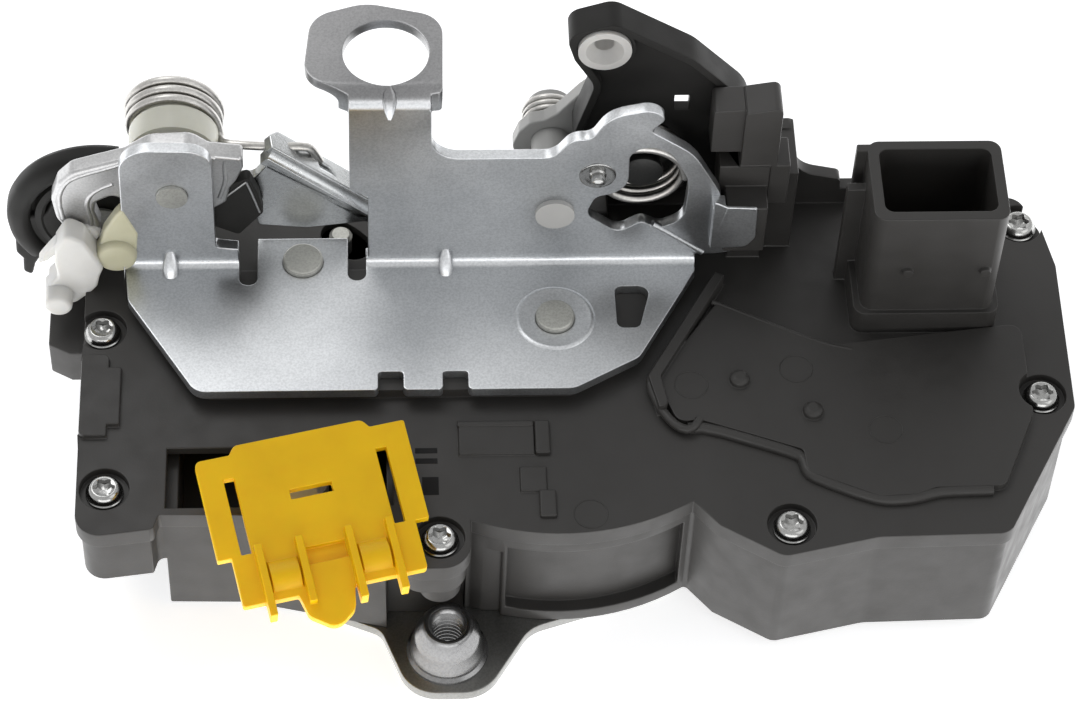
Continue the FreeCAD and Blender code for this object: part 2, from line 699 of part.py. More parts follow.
def back_bracket():
    low = flange_bottom - 1
    bend = flange_top + bend_radius
    flange = plate_z([
        (-69.6, 13.9), (-68.8, 4.5, 3), (-57.6, -14.0, 3), (-28.6, -14.0, 0.8), (-28.6, -10.4, 0.6),
        (-24.6, -10.4, 0.6), (-24.6, -14.0, 0.8), (-18.3, -14.0, 0.8), (-18.3, -10.4, 0.6), (-14.3, -10.4, 0.6),
        (-14.3, -14.0, 0.8), (2.7, -14.0, 4), (13.3, -8.0, 3), (23.2, 9.4, 1), (23.4, 13.9),
    ], low, bend)
    web = plate_y([
        (-69.5, bend), (-69.0, 60.6, 5), (-54.4, 60.0, 4), (-54.6, 36.2, 0.8), (-50.8, 35.6), (-50.8, bend),
    ], web_front - bend_radius, web_back)
    main = plate_y([
        (-30.0, bend), (-29.9, 48.7, 0.6), (-32.8, 50.4, 0.6), (-32.8, tab_top + 2),
        (-20.0, tab_top + 2), (-19.8, 58.0, 4.4),
        (-0.6, 58.0, 3), (2.1, 62.3, 3), (5.2, 62.4, 2), (7.8, 67.6, 6), (14.6, 69.4, 3), (16.8, 67.0, 1.2),
        (14.4, 64.2, 0.8), (21.6, 58.6, 12), (26.4, 49.0, 8), (27.0, 44.0, 0.8), (31.9, 44.3, 1), (32.8, 38.0, 3),
        (29.0, 33.8, 3), (24.0, 33.0, 1), (23.4, bend),
    ], web_front - bend_radius, web_back + bend_radius + 0.1)
    web_box = box(-90, 45, web_front - bend_radius, web_back, bend - 0.01, tab_top - bend_radius - sheet_thickness)
    tongue = plate_z([(-49.4, 10.0), (-49.4, 17.0, 1), (-32.0, 17.0, 1), (-32.0, 10.0)], flange_bottom, flange_top)
    tab = plate_z([
        (-32.8, web_front - 1), (-32.8, web_front + 1.2), (-39.8, 16.4, 4), (-38.6, 28.6, 5), (-30.0, 31.4, 8),
        (-17.9, 28.4, 4.5), (-18.2, web_front + 1.4, 0.8), (-20.0, web_front + 1.2), (-20.0, web_front - 1),
    ], tab_top - 5, tab_top + 1)
    folded = bracket_profile()
    flange_part = folded.common(flange)
    web_part = folded.common(web.fuse(main).common(web_box))
    tab_part = folded.common(tab)
    sheet = fuse([flange_part, web_part, tab_part])
    gap = box(-49.4, -31.9, web_front - bend_radius - 0.01, web_back + 1, flange_top, bend + 6)
    under_gap = box(-49.4, -31.9, web_front - bend_radius - 0.2, web_back + 1, flange_bottom - 1, bend + 6)
    sheet = sheet.cut(under_gap.fuse(gap))
    sheet = sheet.fuse(tongue)

    tools = [
        plate_z([(-50.9, 7.4, 1.4), (-48.0, 7.4, 1.4), (-48.0, 20.0), (-50.9, 20.0)], low, 37.0),
        plate_z([(-33.3, 8.2, 1.4), (-30.4, 8.2, 1.4), (-30.4, 20.0), (-33.3, 20.0)], low, 36.8),
        plate_z([(9.9, 6.4, 1.2), (15.8, 6.4, 1.6), (13.6, -2.0, 1.2), (10.0, -2.0, 1.2)], low, bend),
        post_z(0, 0, fork_pivot_radius, low, bend),
        post_z(pawl_x, pawl_y, pawl_pivot_radius, low, bend),
        post_z(tab_hole_x, tab_hole_y, tab_hole_radius, tab_top - 5, tab_top + 1),
        post_y(release_x, release_z, release_pivot_radius, 5, 20),
        post_y(link_x, link_z, link_pivot_radius, 5, 20),
        post_y(anchor_x, anchor_z, 1.2, 5, 20),
        plate_y([
            (11.4, 58.0, 2), (13.2, 60.6, 3), (17.6, 59.6, 5), (21.2, 52.0, 8), (20.8, 42.2, 4), (17.0, 40.2, 1.5),
            (14.0, 42.0, 1.5), (10.4, 39.2, 2), (5.0, 43.8, 2.6), (6.4, 48.2, 2), (11.6, 49.6, 4.5),
        ], 5, 20),
    ]
    return cut(sheet, tools).removeSplitter()


def anchor_pin():
    pin = post_y(anchor_x, anchor_z, 1.2, web_front - 1.6, web_back + 0.3)
    flange = Part.makeCone(1.4, 3.0, 1.0, vec(anchor_x, web_front - 1.0, anchor_z), vec(0, 1, 0))
    return pin.fuse(flange).removeSplitter()


def release_pivot():
    head_y = release_spring_back + 0.4
    pin = post_y(release_x, release_z, release_pivot_radius, web_front - 0.5, head_y)
    head = post_y(release_x, release_z, release_pivot_radius + 1.6, head_y, head_y + 1.2)
    return fuse([pin, head])


def link_pivot():
    arm_back = link_lever_front + link_lever_thickness
    head = post_y(link_x, link_z, rivet_head_radius, web_front - 0.8, web_front)
    spacer = post_y(link_x, link_z, link_pivot_radius + 0.9, web_back, link_lever_front - 0.1)
    pin = post_y(link_x, link_z, link_pivot_radius, web_front - 0.4, arm_back + 4.4)
    end = post_y(link_x, link_z, link_pivot_radius + 1.2, arm_back + 4.4, arm_back + 5.4)
    return fuse([head, spacer, pin, end])


def fork_outline():
    """Fork bolt in its open position, as a solid between two heights."""
    z0, z1 = fork_bottom, fork_bottom + fork_thickness
    disc = post_z(0, 0, fork_radius, z0, z1)
    far = fork_radius * 3
    start, stop = fork_slot_angle - 48, fork_slot_angle + 64
    wedge = plate_z([(0, 0), polar(far, start), polar(far, (start + stop) / 2), polar(far, stop)], z0, z1)
    body = disc.common(wedge).fuse(post_z(0, 0, fork_hub_radius, z0, z1))
    half = fork_slot_width / 2
    slot = box(15.0, far, -half, half, z0 - 1, z1 + 1)
    slot = slot.fuse(post_z(15.0, 0, half, z0 - 1, z1 + 1))
    slot = slot.fuse(plate_z([(22.0, -half), (far, -half - 18), (far, 0), (22.0, 0)], z0 - 1, z1 + 1))
    body = body.cut(turned(slot, 0, 0, fork_slot_angle))
    notch = plate_z([(fork_radius - 4.0, 0, 0.6), (fork_radius + 4, 0), (fork_radius + 4, 12), (fork_radius - 1, 9)],
                    z0 - 1, z1 + 1)
    return body.cut(turned(notch, 0, 0, pawl_tip_angle - 48 - 10))


def fork_bolt():
    return fork_outline().cut(post_z(0, 0, shoulder_radius + running_gap, 0, 30)).removeSplitter()


def fork_cushion():
    """Plastic shell over the fork's faces, with a bore a little wider than the fork's."""
    plate = fork_outline()
    upper = plate.copy()
    upper.translate(vec(0, 0, fork_thickness))
    upper = upper.common(box(-60, 60, -60, 60, fork_bottom + fork_thickness, fork_bottom + fork_thickness + fork_skin))
    ring = post_z(0, 0, fork_hub_radius - 3.0, 0, 40)
    return upper.cut(ring).removeSplitter()


def pawl_outline(z0, z1):
    tip_x, tip_y = polar(fork_radius + 0.5, pawl_tip_angle)
    arm = plate_z([
        (pawl_x - 5.6, pawl_y - 3.0, 3), (tip_x - 6.5, tip_y - 1.4, 2), (tip_x + 0.4, tip_y - 4.4, 0.8),
        (tip_x + 0.2, tip_y + 1.0, 0.6), (pawl_x + 8.4, pawl_y - 4.0, 4), (pawl_x + 5.6, pawl_y + 2.0, 3),
    ], z0, z1)
    tail = plate_z([
        (pawl_x - 2, pawl_y + 5.0, 2), (lift_pin_x - 3.0, lift_pin_y + 3.0, 2.6), (lift_pin_x + 3.2, lift_pin_y + 3.0, 2.6),
        (lift_pin_x + 3.2, lift_pin_y - 2.4, 2), (pawl_x + 6.0, pawl_y, 3),
    ], z0, z1)
    hub = post_z(pawl_x, pawl_y, pawl_hub_radius, z0, z1)
    return fuse([arm, tail, hub]).cut(post_z(0, 0, fork_radius + 0.5, z0 - 1, z1 + 1))


def pawl():
    body = pawl_outline(fork_bottom, fork_bottom + pawl_thickness)
    body = body.cut(post_z(pawl_x, pawl_y, shoulder_radius + running_gap, 0, 30))
    return body.cut(post_z(lift_pin_x, lift_pin_y, lift_pin_radius, 0, 30)).removeSplitter()


def lift_pin():
    pin = post_z(lift_pin_x, lift_pin_y, lift_pin_radius, fork_bottom, cover_top)
    crown = Part.makeCone(lift_pin_radius, lift_pin_radius - 0.5, 0.6, vec(lift_pin_x, lift_pin_y, cover_top))
    return pin.fuse(crown)


def pivot_spring(x, y, z0):
    shape = coil(shoulder_radius + 1.4, 1.1, 2, 1.25, vec(x, y, z0 + 0.6), False)
    return shape


def fork_stop():
    """Rubber stop that the open fork rests against."""
    level = fork_bottom + fork_thickness
    angle = fork_slot_angle - 48
    block = box(17.5, 27.5, -5.6, -fit_gap, case_bottom + 0.4, level)
    return turned(block, 0, 0, angle)


def wheel_with_teeth(root, tip, count, width, z0, z1):
    body = post_z(0, 0, root, z0, z1)
    tooth = box(root - 0.6, tip, -width / 2, width / 2, z0, z1)
    return body.fuse([turned(tooth, 0, 0, 360.0 * index / count) for index in range(count)])


def lock_gear():
    wheel_root = wheel_radius - 1.06
    wheel = wheel_with_teeth(wheel_root, wheel_radius + 0.54, wheel_teeth, 1.0, wheel_bottom, wheel_top)
    pinion = wheel_with_teeth(pinion_radius - 1.1, pinion_radius + 0.9, pinion_teeth, 1.1, wheel_top, slider_top + 0.3)
    pinion = turned(pinion, 0, 0, 90)
    groove = post_z(0, 0, wheel_root - 1.8, wheel_bottom, wheel_bottom + 1.6)
    groove = groove.cut(post_z(0, 0, 3.6, wheel_bottom, wheel_bottom + 2))
    body = wheel.fuse(pinion).cut(groove).cut(post_z(0, 0, axle_radius + running_gap, 0, 40))
    body = body.removeSplitter()
    body.translate(vec(wheel_x, wheel_y, 0))
    return body


def gear_axle():
    return post_z(wheel_x, wheel_y, axle_radius, case_bottom + block_floor, slider_top + 0.8)


def lock_worm():
    motor_end = motor_front + motor_length
    worm_start = motor_end + 3.0
    shaft = post_y(motor_x, motor_axis_z, worm_shaft_radius, motor_end - 1.8, motor_end + worm_length + 6.0)
    core = post_y(motor_x, motor_axis_z, worm_root_radius, worm_start, motor_end + worm_length + 3.1)
    deep = worm_root_radius - 0.4
    ridge = helix([(deep, -0.45), (worm_radius, -0.3), (worm_radius, 0.3), (deep, 0.45)], 4, worm_pitch, 20)
    ridge.rotate(vec(0, 0, 0), vec(1, 0, 0), -90)
    ridge.translate(vec(motor_x, wheel_y - 2 * worm_pitch, motor_axis_z))
    return fuse([shaft, core, ridge])


def lock_motor():
    end = motor_front + motor_length
    can = post_y(motor_x, motor_axis_z, motor_width / 2, motor_front, end)
    flat = box(motor_x - 20, motor_x + 20, motor_front, end, motor_axis_z - motor_height / 2, motor_axis_z + motor_height / 2)
    can = can.common(flat)
    return can.cut(post_y(motor_x, motor_axis_z, worm_shaft_radius + running_gap, end - 2, end + 1))


def motor_end_cap():
    half = motor_height / 2
    cap = post_y(motor_x, motor_axis_z, motor_width / 2 - 1.8, motor_front - 1.6, motor_front)
    cap = cap.common(box(motor_x - 20, motor_x + 20, -60, 0, motor_axis_z - half + 0.4, motor_axis_z + half - 0.4))
    return cap.fuse(post_y(motor_x, motor_axis_z, 3.4, motor_front - 2.8, motor_front - 1.6)).removeSplitter()


def lock_slider():
    z0, z1 = slider_bottom, slider_top
    pin_dx, pin_dy = polar(lock_arm_reach, lock_arm_angle)
    pin_x, pin_y = lock_lever_x + pin_dx, lock_lever_y + pin_dy
    rack_left = wheel_x - 4.2
    rack_right = wheel_x + 4.2 + slider_travel
    bar = box(pin_x - 4.6, 46.0, slider_front, slider_back, z0, z1)
    head = box(pin_x - 4.6, pin_x + 4.6, slider_front, pin_y + 3.6, z0, z1)
    root = rack_line - 1.2
    rack = box(rack_left, rack_right, slider_back + 0.7, root, z0, z1)
    joint = box(rack_left, 46.0, slider_front, root - 0.5, z0, z1)
    shapes = [bar, head, rack, joint]
    for index in range(-2, 4):
        x = wheel_x + rack_pitch * (index + 0.5)
        if rack_left + 0.5 < x < rack_right - 0.5:
            shapes.append(box(x - 0.5, x + 0.5, root - 0.3, rack_line + 0.8, z0, z1))
    body = fuse(shapes)
    slot = box(pin_x - 1.7, pin_x + 1.7, pin_y - 2.2, pin_y + 2.2, z0 - 1, z1 + 1)
    pocket = box(-22.0, 24.0, slider_front + 1.4, slider_back - 1.4, z1 - 0.8, z1 + 1)
    return cut(body, [slot, pocket]).removeSplitter()


def lock_lever():
    z0, z1 = lock_lever_bottom, lock_lever_bottom + lock_lever_thickness
    pin_dx, pin_dy = polar(lock_arm_reach, lock_arm_angle)
    tip_dx, tip_dy = polar(lock_tip_reach, lock_tip_angle)
    x, y = lock_lever_x, lock_lever_y
    side_x, side_y = polar(1.0, lock_arm_angle - 90)
    arm = plate_z([
        (x + pin_dx + side_x * 2.4, y + pin_dy + side_y * 2.4), (x + pin_dx - side_x * 2.4, y + pin_dy - side_y * 2.4),
        (x - side_x * 3.4, y - side_y * 3.4), (x + tip_dx - 1.6, y + tip_dy), (x + tip_dx + 1.6, y + tip_dy),
        (x + side_x * 3.4, y + side_y * 3.4),
    ], z0, z1)
    pad = plate_z([(-2.2, -1.0, 0.9), (-2.2, 1.0, 0.9), (2.2, 1.0, 0.9), (2.2, -1.0, 0.9)], cover_top - 2.4, cover_top + 0.2)
    pad = turned(pad, 0, 0, lock_tip_angle + 90)
    pad.translate(vec(x + tip_dx, y + tip_dy))
    shapes = [
        arm, post_z(x, y, 4.2, z0, z1 + 0.8), post_z(x + pin_dx, y + pin_dy, 2.4, z0, z1),
        post_z(x + pin_dx, y + pin_dy, 1.4, z0, slider_top - 0.2), post_z(x + tip_dx, y + tip_dy, 1.0, z0, cover_top - 2.0),
        post_z(x + tip_dx, y + tip_dy, 1.6, z0, z1), pad,
    ]
    return fuse(shapes).cut(post_z(x, y, 2.0 + running_gap, 0, 40)).removeSplitter()


def terminal_points():
    middle_x = (socket_left + socket_right) / 2
    middle_y = (socket_front + socket_back) / 2
    return [(middle_x + (index - 1.5) * 4.2, middle_y + side) for side in (-2.4, 2.4) for index in range(4)]


def connector_terminals():
    blades = []
    for x, y in terminal_points():
        w, d = terminal_width / 2, terminal_depth / 2
        blade = box(x - w, x + w, y - d, y + d, carrier_bottom, terminal_top - 1.0)
        tip = plate_y([(x - w, terminal_top - 1.0), (x - w + 0.7, terminal_top), (x + w - 0.7, terminal_top),
                       (x + w, terminal_top - 1.0)], y - d, y + d)
        blades.append(blade.fuse(tip).removeSplitter())
    return Part.makeCompound(blades)


def contact_carrier():
    z0, z1 = carrier_bottom, carrier_bottom + carrier_thickness
    plate = plate_z([
        (50.2, -4.6, 1), (76.0, -4.6, 1), (76.0, 16.0, 2), (70.0, 21.6, 2), (50.2, 21.6, 1),
    ], z0, z1)
    for x, y in terminal_points():
        w, d = terminal_width / 2, terminal_depth / 2
        plate = plate.cut(box(x - w, x + w, y - d, y + d, z0 - 1, z1 + 1))
    return plate


def micro_switches():
    first = box(-21.0, -13.0, 4.0, 9.0, chamber_floor, chamber_floor + 6.0)
    second = box(8.6, 16.6, 7.0, 12.0, chamber_floor, chamber_floor + 6.0)
    first_key = box(-19.6, -17.6, 3.2, 4.0, chamber_floor + 3.4, chamber_floor + 4.8)
    second_key = box(10.0, 12.0, 6.2, 7.0, chamber_floor + 3.4, chamber_floor + 4.8)
    return Part.makeCompound([first.fuse(first_key), second.fuse(second_key)])


def inside_lever():
    y0, y1 = inside_front, inside_front + inside_lever_thickness
    plate = plate_y([
        (release_x - 4.8, release_z + 8.3, 5), (release_x - 16.2, release_z + 3.2, 4), (-80.4, 45.0, 4),
        (-78.8, 38.0, 4), (-74.0, 31.2, 1.5), (-70.8, 32.0, 1.5), (-68.0, 38.4, 5), (-65.6, 42.4, 3),
        (release_x + 5.0, release_z - 6.6, 3), (release_x + 10.2, release_z - 0.8, 1.4),
        (release_x + 11.6, release_z + 3.8, 1), (release_x + 6.0, release_z + 6.4, 3),
    ], y0, y1)
    rim = plate_y([
        (release_x - 4.8, release_z + 8.3, 5), (release_x - 16.2, release_z + 3.2, 4), (-80.4, 45.0, 4),
        (-78.8, 38.0, 4), (-76.4, 35.0), (-74.8, 38.8, 3), (-76.6, 45.0, 3), (release_x - 14.4, release_z + 0.4, 4),
        (release_x - 6.0, release_z + 4.6, 4),
    ], y0, y1)
    slot = plate_y([(-74.4, 41.4, 1), (-74.4, 45.6, 1), (-71.6, 45.6, 1), (-71.6, 41.4, 1)], y0 - 1, y1 + 1)
    recess = plate.cut(rim).common(box(-76.5, release_x - 7.4, y0 - 1, y0 + 0.8, 30, 70))
    recess = recess.cut(post_y(clip_pivot_x, clip_pivot_z, 3.4, y0 - 1, y1 + 1))
    holes = [
        slot, recess, post_y(release_x, release_z, release_pivot_radius + running_gap, y0 - 1, y1 + 1),
        post_y(clip_pivot_x, clip_pivot_z, clip_pin_radius + running_gap, y0 - 1, y1 + 1),
    ]
    return cut(plate, holes).removeSplitter()


def release_lever():
    y0, y1 = release_front, release_front + release_lever_thickness
    plate = plate_y([
        (-66.0, 45.6), (-52.0, 44.5, 4), (-46.6, 47.4, 2), (-45.8, 57.6, 0.8), (-33.0, 50.0, 3), (-29.5, 41.0, 3),
        (-29.5, 34.6, 2), (-40.0, 32.8, 8), (-50.0, 38.0, 10), (-62.0, 42.4),
    ], y0, y1)
    hub = post_y(release_x, release_z, bush_radius, y0, y1)
    flange = plate_y([(-45.4, 57.2), (-34.4, 50.8), (-35.4, 49.1), (-46.4, 55.5)], y0, y1 + 6.0)
    slot = plate_y([(-38.8, 46.4, 1.2), (-38.8, 51.0, 1.2), (-36.2, 51.0, 1.2), (-36.2, 46.4, 1.2)], y0 - 1, y1 + 1)
    bore = post_y(release_x, release_z, release_pivot_radius + running_gap, y0 - 1, y1 + 1)
    return fuse([plate, hub, flange]).cut(slot).cut(bore).removeSplitter()


def lever_bush():
    flange = post_y(release_x, release_z, bush_radius, bush_front, bush_back)
    core = post_y(release_x, release_z, torsion_radius - torsion_wire / 2 - fit_gap, bush_back, release_spring_back)
    body = flange.fuse(core)
    return body.cut(post_y(release_x, release_z, release_pivot_radius, 0, 60)).removeSplitter()


def rod(start, end, radius):
    direction = end - start
    return Part.makeCylinder(radius, direction.Length, start, direction)


def release_spring():
    wire = torsion_wire / 2
    start_y = bush_back + fit_gap + wire
    leg_y = bush_front + 1.2
    body = coil(torsion_radius, torsion_wire, torsion_turns, coil_pitch, vec(release_x, start_y, release_z), True)
    side = release_x + torsion_radius
    points = [
        vec(side - 0.2, start_y, release_z - 0.2), vec(side + 1.1, start_y, release_z),
        vec(side + 1.3, leg_y, release_z), vec(-39.0, leg_y, release_z - 0.6), vec(-36.6, leg_y, release_z - 6.8),
    ]
    shapes = [rod(start, end, wire) for start, end in zip(points, points[1:])]
    shapes += [Part.makeSphere(wire, point) for point in points[1:-1]]
    return body.fuse(shapes)


def outside_outline(y0, y1, inset):
    wire = rounded_wire([
        (2.6, 70.6, 2), (1.0, 76.2, 2.6), (8.6, 79.0, 3), (21.6, 70.4, 8), (31.0, 60.0, 8), (31.4, 46.0, 7),
        (22.0, 38.0, 8), (6.0, 39.4, 7), (2.8, 52.0, 8), (6.0, 64.6, 4),
    ], lambda a, b: vec(a, y0, b))
    face = Part.Face(wire)
    if inset > 0:
        face = face.makeOffset2D(-inset)
    return face.extrude(vec(0, y1 - y0, 0))


def outside_lever():
    y0, y1 = outside_lever_front, outside_lever_front + outside_lever_thickness
    body = outside_outline(y0, y1, 0)
    hub = post_y(outside_x, outside_z, outside_hub_radius, y0, y1)
    eye = post_y(rod_bush_x, rod_bush_z, rod_bush_radius + 0.7, y0, y1)
    recess = outside_outline(y0 - 1, y0 + 1.6, 1.3).cut(hub).cut(eye)
    low = outside_outline(y1 - 1.8, y1 + 1, 1.3).cut(hub).cut(eye)
    tools = [recess, low, post_y(outside_x, outside_z, outside_pin_radius + running_gap, y0 - 1, y1 + 1)]
    tools.append(post_y(rod_bush_x, rod_bush_z, rod_bush_radius, y0 - 1, y1 + 1))
    tools.append(box(19.0, 21.4, y0 - 1, y1 + 1, 57.0, 60.4))
    return cut(body, tools).removeSplitter()


def rod_bush():
    y0 = outside_lever_front - 0.6
    y1 = outside_lever_front + outside_lever_thickness + 0.3
    body = post_y(rod_bush_x, rod_bush_z, rod_bush_radius, y0, y1)
    cone = Part.makeCone(3.0, rod_hole_radius, 1.8, vec(rod_bush_x, y0, rod_bush_z), vec(0, 1, 0))
    return body.cut(cone).cut(post_y(rod_bush_x, rod_bush_z, rod_hole_radius, y0 - 1, y1 + 1)).removeSplitter()


def outside_spring():
    start_y = web_back + 0.8 + torsion_wire / 2
    return coil(torsion_radius, torsion_wire, 3.5, coil_pitch - 0.05, vec(outside_x, start_y, outside_z), True)


def outside_pin():
    head = post_y(outside_x, outside_z, 5.0, web_back + 0.5, web_back + 1.4)
    return head.fuse(post_y(outside_x, outside_z, outside_pin_radius, web_back + 1.4, tower_front + tower_thickness))


def link_lever():
    y0, y1 = link_lever_front, link_lever_front + link_lever_thickness
    hub = post_y(link_x, link_z, 6.5, y0, y1)
    arm = plate_y([(-2.8, 46.4), (4.0, 58.8, 3), (10.0, 56.6, 3), (3.6, 43.0)], y0, y1)
    tail = plate_y([(3.4, 48.6), (8.4, 44.0, 2), (7.2, 38.0, 2), (1.0, 38.6), (-2.0, 42.0)], y0, y1)
    body = fuse([hub, arm, tail])
    return body.cut(post_y(link_x, link_z, link_pivot_radius + running_gap, 0, 60)).removeSplitter()


def link_spring():
    start_y = link_lever_front + link_lever_thickness + 0.9
    return coil(4.2, 1.0, 2.5, 1.1, vec(link_x, start_y, link_z), True)


def rod_clip():
    y0, y1 = web_front - 2.2, web_back
    body = plate_y([
        (-78.6, 41.2, 3), (-84.2, 33.4, 0.8), (-80.8, 34.0), (-81.6, 30.0), (-83.0, 26.8, 1.6), (-78.0, 26.2, 1.6),
        (-77.6, 31.0, 1), (-73.4, 31.6, 1), (-73.4, 39.4, 2),
    ], y0, y1)
    bar = post_y(-80.6, 28.6, 2.4, y0 - 2.6, y0 + 1.0)
    pin = post_y(clip_pivot_x, clip_pivot_z, clip_pin_radius, y1 - 0.5, inside_front + inside_lever_thickness + 0.3)
    return fuse([body, bar, pin])


def clip_bush():
    return plate_y([(-73.4, 32.0, 1), (-73.4, 45.0, 1.4), (-69.9, 45.0, 1.4), (-69.9, 32.0, 1)],
                   web_front - 1.8, web_back)


def key_lever():
    y0, y1 = key_front, key_front + key_depth
    far = key_radius * 2
    rays = [polar(far, angle) for angle in (78, 120, 165, 215)]
    wedge = plate_y([(key_x, key_z)] + [(key_x + a, key_z + b) for a, b in rays], y0, y1)
    disc = post_y(key_x, key_z, key_radius, y0, y1)
    step = post_y(key_x, key_z, key_radius - 2.6, y0 - 1, y0 + 1.4)
    hollow = post_y(key_x, key_z, key_radius - 4.4, y0 - 1, y1 - 1.6)
    sector = disc.common(wedge).cut(step).cut(hollow)
    hub = post_y(key_x, key_z, key_hub_radius, y0 + 1.0, y1)
    tail_points = [
        (-11.4, -5.0), (-14.9, -9.0, 3), (-13.3, -17.5, 1.6), (-10.3, -17.8, 1.6), (-5.5, -5.0, 6), (-3.5, -0.6),
    ]
    tail = plate_y([(key_x + item[0], key_z + item[1]) + item[2:] for item in tail_points], y0 + 0.2, y1)
    bore = post_y(key_x, key_z, key_pin_radius + running_gap, y0 - 1, y1 + 1)
    return fuse([sector, hub, tail]).cut(bore).removeSplitter()


def key_pin():
    y0 = key_front + 0.4
    head = post_y(key_x, key_z, 3.2, y0 - 0.2, y0 + 0.3)
    return head.fuse(post_y(key_x, key_z, key_pin_radius, y0 + 0.3, case_back + fit_gap + 2.0)).removeSplitter()


def transport_clip():
    """Yellow clip, drawn flat on XY and then laid on the front edge of the cover."""
    t = clip_thickness
    wide, centre, shoulder = clip_half_width, clip_centre_half, clip_shoulder
    low_half = wide - 2.2
    plate = plate_z([
        (-wide, clip_ear_low), (-wide, shoulder, 1), (-centre - 1, shoulder), (-centre, shoulder + 1.4, 1.4),
        (centre, shoulder + 1.4, 1.4), (centre + 1, shoulder), (wide, shoulder, 0.4), (wide, clip_ear_low),
        (low_half, clip_ear_low), (low_half, clip_low, 0.6), (3.0, clip_low, 0.6), (2.2, clip_low - 4.0, 2.4),
        (-1.2, clip_low - 6.4, 2.2), (-5.0, clip_low - 3.6, 1.6), (-5.8, clip_low, 0.4), (-low_half, clip_low, 0.4),
        (-low_half, clip_ear_low),
    ], 0, t)
    shapes = [plate]
    rib_points = [-10.3, -3.9, 3.9, 10.3]
    for x, reach in zip(rib_points, (-14.0, -13.0, -14.0, -14.0)):
        shapes.append(box(x - clip_rib_half, x + clip_rib_half, reach, clip_ear_low + 1.0, t - 0.4, t + 1.6))
        shapes.append(box(x - clip_rib_half, x + clip_rib_half, reach, clip_low + 1.0, 0, t))
    for left, right in ((0, 1), (2, 3)):
        bulge = post_x(-7.4, 0, 3.1, rib_points[left] + 0.9, rib_points[right] - 0.9)
        shapes.append(bulge.common(box(-20, 20, -12, 0, 0.4, 5)))
    for x in (-9.0, 9.0):
        shapes.append(box(x - 1.4, x + 1.4, 10.6, 12.2, -8.5, 0.5))
        shapes.append(box(x - 1.4, x + 1.4, 12.0, 12.8, -8.5, -7.0))
    body = fuse(shapes)
    slots = [plate_z([(-3.4, 4.4), (-3.4, 6.0), (3.3, 6.0), (3.3, 4.4)], -1, t + 1)]
    for x in (-centre - 1.9, centre + 1.9):
        slots.append(plate_z([(x - 0.85, clip_ear_low + 0.2), (x - 0.85, 9.8), (x + 0.85, 9.8), (x + 0.85, clip_ear_low + 0.2)],
                             -1, t + 1))
    slots.append(box(-3.1, 3.1, -6.6, -3.8, t - 0.9, t + 2))
    body = cut(body, slots).removeSplitter()
    body.rotate(vec(0, 0, 0), vec(1, 0, 0), clip_pitch)
    body.rotate(vec(0, 0, 0), vec(0, 0, 1), clip_yaw)
    body.translate(vec(clip_x, clip_y, clip_z))
    return body


save("face_plate", face_plate())
save("mounting_nuts", mounting_nuts())
save("latch_case", latch_case())
save("cover_seal", cover_seal())
save("actuator_cover", actuator_cover())
save("cover_screws", cover_screws())
save("fork_pivot", shoulder_pin(0, 0, fork_pivot_radius))
save("pawl_pivot", shoulder_pin(pawl_x, pawl_y, pawl_pivot_radius))
save("back_bracket", back_bracket())
save("spring_anchor_pin", anchor_pin())
save("release_pivot", release_pivot())
save("link_pivot", link_pivot())
save("outside_pin", outside_pin())
save("fork_bolt", fork_bolt())
save("fork_cushion", fork_cushion())
save("fork_spring", pivot_spring(0, 0, fork_bottom + fork_thickness + fork_skin))
save("fork_stop", fork_stop())
save("pawl", pawl())
save("pawl_lift_pin", lift_pin())
save("pawl_spring", pivot_spring(pawl_x, pawl_y, fork_bottom + fork_thickness + fork_skin))
save("lock_motor", lock_motor())
save("motor_end_cap", motor_end_cap())
save("lock_worm", lock_worm())
save("lock_gear", lock_gear())
save("gear_axle", gear_axle())
save("lock_slider", lock_slider())
save("lock_lever", lock_lever())
save("contact_carrier", contact_carrier())
save("connector_terminals", connector_terminals())
save("micro_switches", micro_switches())
save("inside_lever", inside_lever())
save("release_lever", release_lever())
save("lever_bush", lever_bush())
save("release_spring", release_spring())
save("rod_clip", rod_clip())
save("clip_bush", clip_bush())
save("key_lever", key_lever())
save("key_lever_pin", key_pin())
save("outside_lever", outside_lever())
save("rod_bush", rod_bush())
save("outside_spring", outside_spring())
save("link_lever", link_lever())
save("link_spring", link_spring())
save("transport_clip", transport_clip())
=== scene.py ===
import bmesh
import bpy
import math
from mathutils import Matrix, Vector


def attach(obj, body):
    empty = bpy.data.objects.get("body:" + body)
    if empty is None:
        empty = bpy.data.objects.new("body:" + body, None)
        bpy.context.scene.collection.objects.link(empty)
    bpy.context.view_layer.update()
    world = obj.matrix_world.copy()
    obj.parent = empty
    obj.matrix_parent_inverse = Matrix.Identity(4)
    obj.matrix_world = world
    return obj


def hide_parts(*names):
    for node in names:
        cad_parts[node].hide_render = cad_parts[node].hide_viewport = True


# Vehicle door latch with a built-in lock actuator, dressed for the studio. Blender units are
# metres, and the sizes in this script are millimetres turned to metres by MM.
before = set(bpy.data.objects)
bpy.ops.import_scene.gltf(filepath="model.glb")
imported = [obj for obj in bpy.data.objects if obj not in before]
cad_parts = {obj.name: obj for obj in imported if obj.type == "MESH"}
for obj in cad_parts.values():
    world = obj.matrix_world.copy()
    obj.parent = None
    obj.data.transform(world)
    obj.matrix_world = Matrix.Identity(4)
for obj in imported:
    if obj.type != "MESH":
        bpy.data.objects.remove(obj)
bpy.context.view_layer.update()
MM = 0.001

